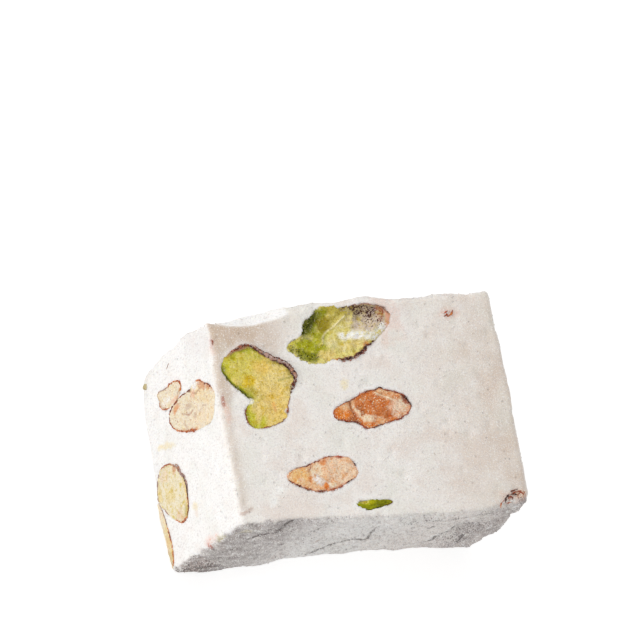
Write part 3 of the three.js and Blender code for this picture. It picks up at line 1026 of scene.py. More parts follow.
NOUGAT_MARKS: dict[Face, tuple[Mark, ...]] = {
    Face.TOP: (
        Stain(Hue.BUTTER, 0.5, (-3.4, 4.7), (0.7, 0.9)), Stain(Hue.SAND, 0.5, (-26.6, 8), (1.4, 5)),
        Stain(Hue.SALMON, 0.3, (-26.9, 1.8), (0.5, 2)),
        Stain(Hue.RUST, 0.85, (-27.3, 4.1), (0.35, 1.2), -4, soft=0.4),
        Stain(Hue.BRICK, 0.3, (-27.4, 14.8), (0.5, 0.8), 10, grit=0.6),
        Stain(Hue.SALMON, 0.25, (-27.6, 13.2), (0.5, 0.9)),
        Stain(Hue.COCOA, 0.6, (-26.4, -16.3), (1.2, 0.35), 20),
        Stain(Hue.SALMON, 0.35, (25.4, -18.6), (2.8, 1.2)),
        Stain(Hue.BISCUIT, 0.6, (26.9, -18.2), (1.1, 0.7)),
        Stain(Hue.BARK, 0.1, (25.6, -18.3), (2.4, 0.9), 4, grit=0.42),
        Stain(Hue.SUGAR, 0.8, (24.8, -19.3), (1.4, 0.3), 5),
        Stain(Hue.SALMON, 0.21, (19.4, 16.5), (1.8, 1.1), grit=0.3),
        Stain(Hue.SALMON, 0.25, (6, 16), (4, 4)), Stain(Hue.SUGAR, 0.8, (-21.2, -14.6), (0.8, 1.6), -20),
        Stain(Hue.SUGAR, 0.7, (-19.8, -13), (0.7, 1), 20),
    ),
    Face.LEFT: (
        Stain(Hue.STRAW, 0.6, (-2.6, 8.7), (0.6, 3.6), -8), Stain(Hue.STRAW, 0.5, (10.8, 16.4), (0.7, 1)),
        Stain(Hue.SHELL_PINK, 0.4, (12, 16.4), (0.7, 0.6)),
        Stain(Hue.SALMON, 0.35, (17.8, 19.8), (1, 2.6), grit=0.4),
        Stain(Hue.BRICK, 0.45, (18.8, 18.6), (0.9, 0.8), grit=0.5),
        Stain(Hue.OLIVE, 0.54, (19.4, 24), (1.2, 2.2), grit=0.4),
        # Painted shade on the left face's upper back corner.
        Stain(Hue.ASH, 0.22, (-16.5, 28), (2.8, 7), -20, grit=0.2, soft=0.6),
    ),
    Face.FRONT: (
        # Painted shade at the front's lower left corner.
        Stain(Hue.SLATE, 0.35, (-23.5, 4), (6, 6)),
        Stain(Hue.SMOKE, 0.2, (-19, 28.5), (4, 2), 20, grit=0.5),
        Stain(Hue.SMOKE, 0.16, (17, 30.8), (11, 1.5), grit=0.55),
        Stain(Hue.SMOKE, 0.16, (-25, 2.5), (4.5, 5), grit=0.8),
        Stain(Hue.COCOA, 0.3, (-26, 4), (3, 5), soft=0.6),
        Stain(Hue.SMOKE, 0.14, (24.5, 14), (3.6, 7), grit=0.55),
        Stain(Hue.COCOA, 0.5, (-5.8, 14.7), (0.7, 1.5), 20),
        Stain(Hue.SMOKE, 0.7, (-13.4, 15.9), (0.6, 0.8)), Stain(Hue.SMOKE, 0.6, (-9.1, 5), (0.5, 0.6)),
        Line(Hue.SUGAR, 0.8, ((-25, 31), (-21, 27.5)), 0.4),
        # Painted highlight along the ridge beside a crack.
        Line(Hue.SUGAR, 0.8, ((19.4, 7.6), (20.2, 17.1), (23, 19.6)), 0.45),
        Stain(Hue.OLIVE, 0.4, (-25.5, 28), (1.4, 2)),
    ),
}

CRACKS: dict[Face, tuple[tuple[Pair, ...], ...]] = {
    Face.FRONT: (
        ((-17.2, 31.6), (-18.2, 25.5), (-20.7, 24.2), (-21.8, 20.4)),
        ((-10.6, 29.1), (-10.5, 24.3)),
        ((-3.3, 3.2), (-0.2, 8.1), (0.9, 10.2), (2.1, 12.7), (4.6, 13.6), (3.6, 20.6), (4, 25.9)),
        ((19, 5), (19.8, 9), (20.6, 17.1), (23.6, 19.9), (24.2, 24)),
        ((23.4, 5.8), (24.4, 8.8), (24.6, 12)),
        ((14, 22.2), (14.4, 19.6)),
        ((-26, 5), (-24, 6.6), (-22.5, 6.2)),
        ((-25.6, 9), (-23.4, 12.4)),
    ),
}


# ---- Node graphs


class Signal:
    """A float socket that Python arithmetic turns into Math nodes."""

    def __init__(self, graph: "Graph", socket: Any) -> None:
        """Wraps one output socket of a graph."""
        self.graph = graph
        self.socket = socket

    def _math(self, operation: str, first: Any, second: Any) -> "Signal":
        """A Math node on two values or signals."""
        made = self.graph.node("ShaderNodeMath", {"operation": operation}, {0: first, 1: second})
        return Signal(self.graph, made.outputs[0])

    def __add__(self, other: Any) -> "Signal":
        """self + other"""
        return self._math("ADD", self, other)

    def __radd__(self, other: Any) -> "Signal":
        """other + self"""
        return self._math("ADD", other, self)

    def __sub__(self, other: Any) -> "Signal":
        """self - other"""
        return self._math("SUBTRACT", self, other)

    def __rsub__(self, other: Any) -> "Signal":
        """other - self"""
        return self._math("SUBTRACT", other, self)

    def __mul__(self, other: Any) -> "Signal":
        """self * other"""
        return self._math("MULTIPLY", self, other)

    def __rmul__(self, other: Any) -> "Signal":
        """other * self"""
        return self._math("MULTIPLY", other, self)

    def __truediv__(self, other: Any) -> "Signal":
        """self / other"""
        return self._math("DIVIDE", self, other)

    def __rtruediv__(self, other: Any) -> "Signal":
        """other / self"""
        return self._math("DIVIDE", other, self)

    def at_least(self, other: Any) -> "Signal":
        """The larger of self and other."""
        return self._math("MAXIMUM", self, other)


@dataclass
class Graph:
    """A node tree with one way to add its nodes."""

    tree: Any

    def feed(self, socket: Any, value: Any) -> None:
        """Links a signal or socket to an input, or sets its value.

        Args:
            socket: The input.
            value: A signal, a socket or a plain value.
        """
        if isinstance(value, Signal):
            value = value.socket
        if isinstance(value, bpy.types.NodeSocket):
            self.tree.links.new(value, socket)
        else:
            socket.default_value = value

    def node(
        self, kind: str, settings: dict[str, Any] | None = None, inputs: dict[Any, Any] | None = None
    ) -> Any:
        """Adds a node.

        Args:
            kind: The node's type.
            settings: Its own options, set before its sockets are.
            inputs: Values, sockets or signals by input name or index.

        Returns:
            The node.
        """
        made = self.tree.nodes.new(kind)
        for name, value in (settings or {}).items():
            setattr(made, name, value)
        for key, value in (inputs or {}).items():
            self.feed(made.inputs[key], value)
        return made

    def first(self, kind: str, inputs: dict[Any, Any], settings: dict[str, Any] | None = None) -> Any:
        """The first output of a new node."""
        return self.node(kind, settings, inputs).outputs[0]

    def step(self, value: Any, low: float, high: float) -> Signal:
        """A smooth step of a signal from 0 at `low` to 1 at `high`."""
        inputs = {"Value": value, "From Min": low, "From Max": high}
        return Signal(self, self.first("ShaderNodeMapRange", inputs, {"interpolation_type": "SMOOTHSTEP"}))

    def mix(self, factor: Any, first: Any, second: Any, kind: str = "MIX") -> Any:
        """The colour socket of a Mix node on two colours."""
        settings = {"data_type": "RGBA", "blend_type": kind, "clamp_factor": True}
        return self.node("ShaderNodeMix", settings, {0: factor, 6: first, 7: second}).outputs[2]


class Shader(Graph):
    """A material's graph, with the patterns that the sweet's finishes share."""

    def __init__(self, name: str) -> None:
        """Starts an empty material.

        Args:
            name: Its name.
        """
        self.material = bpy.data.materials.new(name)
        self.material.use_nodes = True
        super().__init__(self.material.node_tree)
        self.tree.nodes.clear()
        self.place = self.node("ShaderNodeTexCoord").outputs["Object"]

    def laid(self, ground: Any, *layers: tuple[Any, ...]) -> Any:
        """Lays colours over a ground, one after another.

        Args:
            ground: The socket of the colour below them.
            *layers: The mask of each with its colour, and how it mixes where it isn't plainly.

        Returns:
            The socket of the colour that results.
        """
        for mask, colour, *kind in layers:
            ground = self.mix(mask, ground, colour.rgba if isinstance(colour, Hue) else colour, *kind)
        return ground

    def attribute(self, name: str, output: str) -> Any:
        """An output of a mesh attribute."""
        return self.node("ShaderNodeAttribute", {"attribute_name": name}).outputs[output]

    def share(self, name: str) -> Signal:
        """A number that the mesh carries."""
        return Signal(self, self.attribute(name, "Fac"))

    def stretched(self, scale: Triple) -> Any:
        """The place scaled along each axis."""
        return self.first("ShaderNodeMapping", {"Vector": self.place, "Scale": scale})

    def drawn(self, lean: float, length: float) -> Any:
        """The place for patterns that are drawn out upwards `length` times, leaning over by an angle."""
        inputs = {"Vector": self.place, "Rotation": (0.0, lean, 0.0), "Scale": (1.0, 1.0, length)}
        return self.first("ShaderNodeMapping", inputs, {"vector_type": "TEXTURE"})

    def lumps(self, size: float, detail: float = 3.0, rough: float = 0.55, place: Any = None) -> Signal:
        """Noise from 0 to 1 whose largest lumps are `size` millimetres wide."""
        inputs = {"Vector": place or self.place, "Scale": 1 / (size * MM)}
        return Signal(self, self.first("ShaderNodeTexNoise", inputs | {"Detail": detail, "Roughness": rough}))

    def cells(self, size: float) -> Signal:
        """The distance to the nearest of scattered points that lie about `size` millimetres apart."""
        inputs = {"Vector": self.place, "Scale": 1 / (size * MM), "Randomness": 1.0}
        return Signal(self, self.first("ShaderNodeTexVoronoi", inputs))

    def specks(self) -> Signal:
        """A mask of small specks, as dense as the mesh says."""
        density = Signal(self, self.attribute(SPECK, "Alpha"))
        return self.step(self.lumps(SPECK_SIZE) + density * SPECK_WEIGHT, *SPECK_EDGE)

    def finish(self, colour: Any, roughness: Any, relief: Signal, depth: float, **uniform: Any) -> Any:
        """Closes the graph with one principled surface.

        Args:
            colour: The base colour's socket.
            roughness: A value or a signal.
            relief: The height of the fine relief.
            depth: What a relief of 1 stands for, in millimetres.
            **uniform: Other inputs of the surface, which are the same all over, with _ for a space.

        Returns:
            The material.
        """
        bump = self.first("ShaderNodeBump", {"Height": relief, "Distance": depth * MM})
        inputs = {"Base Color": colour, "Roughness": roughness, "Normal": bump}
        inputs |= {name.replace("_", " "): value for name, value in uniform.items()}
        self.close(inputs)
        return self.material

    def close(self, inputs: dict[str, Any]) -> None:
        """Ends the graph with a principled surface that has these inputs."""
        surface = self.first("ShaderNodeBsdfPrincipled", inputs)
        self.node("ShaderNodeOutputMaterial", None, {"Surface": surface})


@dataclass(frozen=True)
class NougatFinish:
    """Whipped sugar and honey: matt, mottled and finely granular, coarser on the powdered faces, with painted
    shade in its pores, cracks and coarse hollows and painted highlight on its coarse lumps.
    """

    name: str = "nougat"
    grain: float = 0.34
    dust: float = 0.2
    mottle: float = 2.6
    coarse: float = 0.8
    pore_gap: float = 1.7
    depth: float = 0.22
    roughness: float = 0.82
    subsurface: float = 0.12
    lean: float = -0.4
    drag: float = 2.2

    def material(self) -> Any:
        """Builds the material.

        Returns:
            The material.
        """
        shader = Shader(self.name)
        shader.place = shader.drawn(self.lean, self.drag)
        outer = shader.share(OUTER)
        grain = shader.lumps(self.grain, 4.0, 0.65)
        dust = shader.lumps(self.dust, 2.0, 0.5)
        mottle = shader.lumps(self.mottle, 4.0, 0.6)
        cool = shader.lumps(self.mottle * 1.7, 3.0, 0.6, shader.stretched((1.0, 0.6, 0.8)))
        coarse = shader.lumps(self.coarse, 4.0, 0.7)
        pores = shader.step(shader.cells(self.pore_gap) + grain * 0.25, 0.26, 0.14)
        crack = shader.share(CRACK) + (shader.lumps(self.coarse) - 0.5)
        crack = shader.step(crack, 0.76, 0.9) * shader.step(dust, 0.64, 0.46)
        colour = shader.laid(
            shader.attribute(PAINT, "Color"),
            (shader.step(mottle, 0.5, 0.72) * 0.25, Hue.BLUSH),
            (shader.step(cool, 0.48, 0.7) * 0.25, Hue.SAGE),
            (shader.step(grain, 0.48, 0.68) * (0.52 + outer * 0.02), Hue.ASH),
            (shader.specks(), shader.attribute(SPECK, "Color")),
            # Painted shade: the pores are darkened with slate.
            (pores * (0.19 + outer * 0.4), Hue.SLATE),
            (shader.step(dust, 0.54, 0.66) * (0.6 + outer * 0.2), Hue.SUGAR),
            # Partly the powder's own mottle, partly painted shade in the coarse hollows and painted highlight
            # on the coarse lumps.
            (shader.step(coarse, 0.5, 0.34) * outer * 0.42, Hue.SLATE),
            (shader.step(coarse, 0.53, 0.68) * outer * 0.8, Hue.SUGAR),
            # Painted shade: the cracks are darkened with smoke grey.
            (crack * 0.8, Hue.SMOKE),
        )
        relief = grain * (0.5 + outer * 0.9) + coarse * outer * 2.3 + mottle * 0.35 + dust * 0.3
        relief = relief - pores * 0.5 - crack * 1.2
        return shader.finish(
            colour, self.roughness, relief, self.depth,
            Specular_IOR_Level=0.35, Subsurface_Weight=self.subsurface,
            Subsurface_Radius=(1.0, 0.85, 0.7), Subsurface_Scale=1.2 * MM,
        )


@dataclass(frozen=True)
class KernelFinish:
    """Cut nut flesh: granular and dusted, with the zones of colour that its mesh carries."""

    name: str
    shade: Hue
    deep: Hue
    pale: Hue
    sugar: float = 0.5
    grain: float = 0.3
    mottle: float = 1.1
    dot_gap: float = 0.37
    pit: float = 0.2
    roughness: float = 0.58
    depth: float = 0.16

    def material(self) -> Any:
        """Builds the material.

        Returns:
            The material.
        """
        shader = Shader(self.name)
        grain = shader.lumps(self.grain, 3.0, 0.6)
        mottle = shader.lumps(self.mottle, 4.0, 0.65)
        dots = shader.step(shader.cells(self.dot_gap) + grain * 0.12, 0.29, 0.2)
        pits = shader.step(shader.lumps(self.pit, 2.0, 0.5), 0.43, 0.34)
        colour = shader.laid(
            shader.attribute(PAINT, "Color"),
            (shader.step(mottle, 0.48, 0.7), self.shade, "MULTIPLY"),
            (shader.step(grain, 0.48, 0.3), self.shade, "MULTIPLY"),
            (shader.step(mottle, 0.48, 0.3) * 0.15, self.pale),
            (pits * 0.42, self.deep, "MULTIPLY"),
            (dots * self.sugar, self.pale),
            (shader.specks(), shader.attribute(SPECK, "Color")),
        )
        relief = grain * 0.7 + mottle * 0.5 + dots * 0.4 - pits * 0.3
        return shader.finish(
            colour, self.roughness + grain * 0.15, relief, self.depth,
            Specular_IOR_Level=0.1, Subsurface_Weight=0.1,
            Subsurface_Radius=(1.0, 0.8, 0.4), Subsurface_Scale=0.8 * MM,
        )


KERNEL_FINISHES = {
    Flesh.PISTACHIO: KernelFinish("pistachio_flesh", Hue.PEAR, Hue.OLIVE, Hue.IVORY, 0.55),
    Flesh.GREEN_PISTACHIO: KernelFinish("green_pistachio_flesh", Hue.PEAR, Hue.OLIVE, Hue.LIME),
    Flesh.ALMOND: KernelFinish("almond_flesh", Hue.BISCUIT, Hue.CARAMEL, Hue.MILK, 0.7),
    Flesh.BLANCHED_ALMOND: KernelFinish("blanched_flesh", Hue.PARCHMENT, Hue.CARAMEL, Hue.SUGAR, 0.6),
}


@dataclass(frozen=True)
class CrumbFinish:
    """Seed skin and crumbs, in the colours that their meshes carry, under a little sugar."""

    name: str
    roughness: float = 0.6
    grain: float = 0.3
    dust: float = 0.24
    depth: float = 0.08
    shade: tuple[float, ...] = (0.55, 0.45, 0.4, 1.0)

    def material(self) -> Any:
        """Builds the material.

        Returns:
            The material.
        """
        shader = Shader(self.name)
        grain = shader.lumps(self.grain, 3.0, 0.6)
        dust = shader.lumps(self.dust, 2.0, 0.5)
        colour = shader.laid(
            shader.attribute(PAINT, "Color"),
            (shader.step(grain, 0.35, 0.7) * 0.4, self.shade, "MULTIPLY"),
            (shader.step(dust, 0.58, 0.66) * 0.6, Hue.BLUSH),
        )
        return shader.finish(colour, self.roughness, grain, self.depth, Specular_IOR_Level=0.12)


# ---- Meshes


def mesh_object(name: str, points: Array, faces: Iterable[Sequence[int]], coats: Coats, material: Any) -> Any:
    """Makes a smooth mesh object in the frame's axes.

    Args:
        name: The object's name.
        points: Its vertices in the cutting frame, in millimetres.
        faces: Vertex numbers of each face.
        coats: The paint of the vertices.
        material: What it is made of.

    Returns:
        The object, linked to the scene.
    """
    mesh = bpy.data.meshes.new(name)
    mesh.from_pydata(BLOCK.to_frame(points).tolist(), [], faces)
    mesh.shade_smooth()
    mesh.materials.append(material)
    set_paint(mesh, PAINT, coats.ground)
    set_paint(mesh, SPECK, coats.specks, coats.density)
    return link(name, mesh)


def link(name: str, data: Any) -> Any:
    """Adds an object to the scene.

    Args:
        name: Its name.
        data: Its mesh, light or camera.

    Returns:
        The object.
    """
    made = bpy.data.objects.new(name, data)
    bpy.context.scene.collection.objects.link(made)
    return made


def set_paint(mesh: Any, name: str, paint: Array, alpha: Any = 1.0) -> None:
    """Stores a linear colour and an alpha for each vertex."""
    layer = mesh.attributes.new(name, "FLOAT_COLOR", "POINT")
    layer.data.foreach_set("color", np.c_[paint, np.broadcast_to(alpha, len(paint))].ravel())


def set_share(mesh: Any, name: str, values: Array) -> None:
    """Stores a number for each vertex."""
    mesh.attributes.new(name, "FLOAT", "POINT").data.foreach_set("value", values)


BLOCK = BlockForm()


@dataclass
class NougatBody:
    """The nougat: a fine closed skin with a pocket round each kernel."""

    step: float = 0.36
    pocket_gap: float = 0.3
    tuck: float = 0.12
    pores: int = 560
    pore_widths: Pair = (0.25, 0.85)
    pore_depth: float = 0.42
    pore_reach: float = 2.5
    rim_catch: float = 0.55
    rim_depth: float = 2.0
    wavy: float = 0.02
    streaked: float = 0.02
    grained: float = 0.03
    lumpy: float = 0.1
    rough: float = 0.16
    seed: int = 11
    crack_reach: float = 1.6
    quads: Array = field(init=False)
    points: Array = field(init=False)
    outward: Array = field(init=False)

    def lines(self, half: float) -> Array:
        """Evenly spaced grid lines from one end of an axis to the other."""
        return np.linspace(-half, half, round(2 * half / self.step) + 1)

    def lay_skin(self) -> None:
        """Lays six grids on the nominal box, joins them along its edges and moves them onto the skin."""
        half = np.array(BLOCK.half)
        lines = [self.lines(value) for value in half]
        places, quads, start = [], [], 0
        for fixed in range(3):
            across, along = (fixed + 1) % 3, (fixed + 2) % 3
            wide, deep = len(lines[across]), len(lines[along])
            for sign in (-1, 1):
                first, second = np.meshgrid(lines[across], lines[along], indexing="ij")
                face = np.empty((wide * deep, 3))
                face[:, fixed] = sign * half[fixed]
                face[:, across], face[:, along] = first.ravel(), second.ravel()
                number = start + np.arange(wide * deep).reshape(wide, deep)
                corners = [number[:-1, :-1], number[1:, :-1], number[1:, 1:], number[:-1, 1:]]
                order = corners if sign > 0 else corners[::-1]
                quads.append(np.stack([corner.ravel() for corner in order], axis=1))
                places.append(face)
                start += wide * deep
        rounded = np.round(np.concatenate(places), 5)
        box, joined = np.unique(rounded, axis=0, return_inverse=True)
        self.quads = joined.reshape(-1)[np.concatenate(quads)]
        self.points, self.outward = BLOCK.skin(box)

    def relief(self) -> Array:
        """The nougat's own unevenness: smooth where the knife went, rough where it was powdered.

        Returns:
            The rise of each vertex.
        """
        points, outward = self.points, self.outward
        outer = rising(np.abs(outward[:, 1]), 0.35, 0.85)
        edge = rising(np.abs(outward).max(axis=1), 0.98, 0.75)
        streaks = fractal(points * np.array([1.0, 0.22, 0.22]), 0.9, 3, 7.0)
        cut = self.wavy * fractal(points, 4.5, 3) + self.streaked * streaks
        cut = cut + self.grained * fractal(points, 0.7, 3, 3.0)
        upright = points * np.array([1.0, 1.0, 0.55])
        rough = self.lumpy * fractal(upright, 2.6, 4, 5.0) + self.rough * fractal(upright, 0.9, 4, 9.0)
        crumble = blend(0.06, 0.2, rising(np.abs(outward[:, 1]), 0.15, 0.5))
        facet = BLOCK.facet.share(points[:, 0]) * rising(outward[:, 1], 0.45, 0.6)
        facet *= rising(points[:, 2], 26, 29)
        return (blend(cut, rough, outer) + edge * crumble * fractal(points, 1.2, 4, 2.0)) * (1 - facet)

    def porous(self) -> Array:
        """How deep small round pores sink the skin.

        Returns:
            The depth at each vertex.
        """
        points = self.points
        draw = np.random.default_rng(self.seed)
        sunk = np.zeros(len(points))
        middles = points[draw.integers(0, len(points), self.pores)]
        widths = draw.uniform(*self.pore_widths, self.pores)
        for middle, width in zip(middles, widths):
            near = np.flatnonzero(np.abs(points - middle).max(axis=1) < self.pore_reach * width)
            distance = np.linalg.norm(points[near] - middle, axis=1)
            sunk[near] = np.maximum(sunk[near], self.pore_depth * width * hill(distance, width))
        return sunk * (1 - rising(np.abs(self.outward[:, 1]), 0.4, 0.9) * 0.3)

    def clearance(self, local: Array, kernel: Kernel) -> tuple[Array, Array, Array]:
        """Where points stand against a kernel's outline.

        Args:
            local: Points in the (u, v, out) of the kernel's face.
            kernel: The kernel.

        Returns:
            For each point its distance past the outline, its direction from the kernel's middle, and
            the outline's radius there. Points far from the kernel's face get a large distance.
        """
        offset = local[:, :2] - np.array(kernel.at)
        direction = np.arctan2(offset[:, 1], offset[:, 0])
        table = np.linspace(-math.pi, math.pi, RIM_STEPS + 1)
        radius = np.interp(direction, table, kernel.radius(table))
        past = np.hypot(offset[:, 0], offset[:, 1]) - radius
        level = FACES[kernel.face].height(*kernel.at)
        return np.where(np.abs(local[:, 2] - level) > kernel.deep, FAR, past), direction, radius

    def pocket(self, points: Array, kernel: Kernel) -> Array:
        """Sinks the vertices under a kernel, and closes the nougat tight round it.

        Args:
            points: The skin's vertices.
            kernel: The kernel.

        Returns:
            The moved vertices.
        """
        form = FACES[kernel.face]
        local = form.from_block(points)
        past, direction, radius = self.clearance(local, kernel)
        level = form.height(*kernel.at)
        at_rim = np.abs(past + self.tuck) < self.rim_catch * self.step
        rim = np.flatnonzero(at_rim & (local[:, 2] > level - self.rim_depth))
        reach = radius[rim] - self.tuck
        local[rim, 0] = kernel.at[0] + reach * np.cos(direction[rim])
        local[rim, 1] = kernel.at[1] + reach * np.sin(direction[rim])
        local[rim, 2] = BLOCK.surface(kernel.face, local[rim, 0], local[rim, 1])
        past[rim] = -self.tuck
        share = np.clip((radius + past) / (radius + self.pocket_gap), 0, 1)
        floor = level - (kernel.deep + self.pocket_gap) * np.sqrt(1 - share**2)
        under = (past < -self.tuck - TINY) & (local[:, 2] > floor)
        local[under, 2] = floor[under]
        return form.to_block(local)

    def coats(self, near: Array, almonds: Array, broken: Array) -> Coats:
        """The nougat's broad zones of colour, some of them painted light and shade, and its marks.

        Args:
            near: Each vertex's distance from the nearest kernel.
            almonds: Its distance from the nearest almond that kept its skin.
            broken: How much of it is on the broken facet, which is painted white as a highlight.

        Returns:
            The paint of the vertices.
        """
        points, outward = self.points, self.outward
        x, y, up = points.T
        coats = Coats.plain(len(points), Hue.NOUGAT, Hue.ASH, 0.1)
        cloud = fractal(points * np.array([0.6, 1.0, 1.0]), 5.0, 4, 1.5)
        coats.add(Hue.BLUSH, 0.45 * rising(cloud, 0.0, 0.6))
        coats.add(Hue.SAGE, 0.4 * rising(-cloud, 0.0, 0.6))
        top = rising(outward[:, 2], 0.6, 0.95)
        # Painted light: the left face, which faces the key light, is painted whiter and carries fewer specks.
        lit = rising(-outward[:, 0], 0.3, 0.8)
        coats.add(Hue.SUGAR, 0.85 * lit)
        coats.density *= 1 - 0.8 * lit
        uneven = fractal(points, 3.0, 4, 2.5)
        # Painted shade: a beige band along the top's rounded left edge.
        band = hill(x + 26.9 - 0.7 * rising(y, 4, 12) + 0.5 * uneven, 1.1) * rising(up, 31, 33.2)
        coats.add(Hue.SAND, band * blend(0.45, 0.85, rising(y, 0, 9)) * rising(y, -19, -14))
        # Painted shade: the back left of the top, behind the kidney pistachio, is painted sandier.
        coats.add(Hue.SAND, top * rising(x, -8, -22) * rising(y + 4 * uneven, 8, 16))
        # Partly tone, partly painted shade: the top grows sandier towards the right, away from the key light.
        tint_and_shade_to_right = (0.54 * rising(x, 1, 31) + 0.14 * rising(x, 19, 29)) * (1 - 0.25 * rising(y, 8, 16))
        coats.add(Hue.SAND, top * tint_and_shade_to_right * (0.8 + 0.4 * uneven))
        ragged = 0.5 * fractal(points, 1.5, 4, 12.0)
        front, back = (rising(sign * outward[:, 1] + ragged, 0.4, 0.85) for sign in (-1, 1))
        patchy = rising(fractal(points, 2.4, 4, 8.0), -0.3, 0.4)
        left, right = rising(x, -4, -20), rising(x, 16, 27)
        shaded_ends = np.maximum(left, right)
        # Partly painted shade: the front face is painted greyer, and darker still at its two ends; the slate
        # and smoke specks are the powder's own.
        coats.add(Hue.SUGAR, 0.7 * front)
        coats.add(Hue.BLUSH, 0.35 * front * rising(x, 4, 15))
        coats.add(Hue.ASH, front * (0.12 + shaded_ends * (0.6 + 0.3 * patchy)) + 0.15 * back * patchy)
        coats.add(Hue.SLATE, front, 0.0, 0.3)
        end_shade = 0.1 + 0.42 * left + 0.25 * rising(x, 23, 28)
        coats.add(Hue.SMOKE, front * shaded_ends * (0.5 + 0.5 * patchy), end_shade, 0.42)
        coats.add(Hue.SLATE, back, 0.0, 0.1)
        coats.add(Hue.SUGAR, 0.6 * rising(near, 1.3, 0.0))
        coats.add(Hue.BRICK, top * rising(almonds, 0.8, 0.1), 0.0, 0.32)
        # Painted highlight: the broken facet is painted sugar white and carries no specks.
        coats.add(Hue.SUGAR, broken)
        coats.density *= 1 - broken
        for face, marks in NOUGAT_MARKS.items():
            spots = Spots.of(FACES[face].from_block(points))
            weight = FACES[face].facing(outward, 0.3, 0.7)
            for mark in marks:
                coats.add_mark(mark, spots, weight)
        return coats

    def cracks(self) -> Array:
        """How near each vertex is to a crack.

        Returns:
            From 0 at some way off to 1 in the crack's middle.
        """
        crack = np.zeros(len(self.points))
        for face, paths in CRACKS.items():
            local = FACES[face].from_block(self.points)
            weight = FACES[face].facing(self.outward, 0.3, 0.6)
            for path in paths:
                away = path_distance(local[:, 0], local[:, 1], path)
                crack = np.maximum(crack, weight * np.clip(1 - away / self.crack_reach, 0, 1))
        return crack

    def build(self, material: Any) -> Any:
        """Makes the nougat's object.

        Args:
            material: The nougat's finish.

        Returns:
            The object.
        """
        self.lay_skin()
        points, outward = self.points, self.outward
        near = np.full(len(points), FAR)
        almonds = near
        for kernel in KERNELS:
            local = FACES[kernel.face].from_block(points)
            away = np.abs(self.clearance(local, kernel)[0])
            near = np.minimum(near, away)
            if kernel.flesh is Flesh.ALMOND:
                almonds = np.minimum(almonds, away)
        torn = 1.6 * fractal(points, 2.0, 4, 17.0)
        broken = BLOCK.facet.share(points[:, 0] + 0.5 * torn) * rising(outward[:, 1], 0.3, 0.5)
        broken *= rising(points[:, 2] + torn, 28.0, 31.0)
        coats = self.coats(near, almonds, broken)
        settled = rising(near, 0.2, 1.4) * (1 - np.maximum(0, -outward[:, 2]))
        rise = (self.relief() - self.porous()) * settled
        moved = points + outward * rise[:, None]
        moved[:, 2] = np.maximum(0, moved[:, 2])
        for kernel in KERNELS:
            moved = self.pocket(moved, kernel)
        made = mesh_object("nougat_skin", moved, self.quads.tolist(), coats, material)
        set_share(made.data, CRACK, self.cracks())
        outer = rising(np.maximum(-outward[:, 1], 0.62 * outward[:, 1]), 0.3, 0.9)
        set_share(made.data, OUTER, outer * (1 - broken))
        rub = rising(np.abs(outward).max(axis=1), 0.97, 0.8)
        rims = 0.5 * rising(near, 0.0, 0.2) * rising(near, 0.7, 0.4)
        crumbly = np.maximum((0.12 + 0.88 * rub) * rising(near, 0.1, 0.4), rims) * (moved[:, 2] > 0.5)
        set_share(made.data, CRUMBLY, crumbly)
        return made


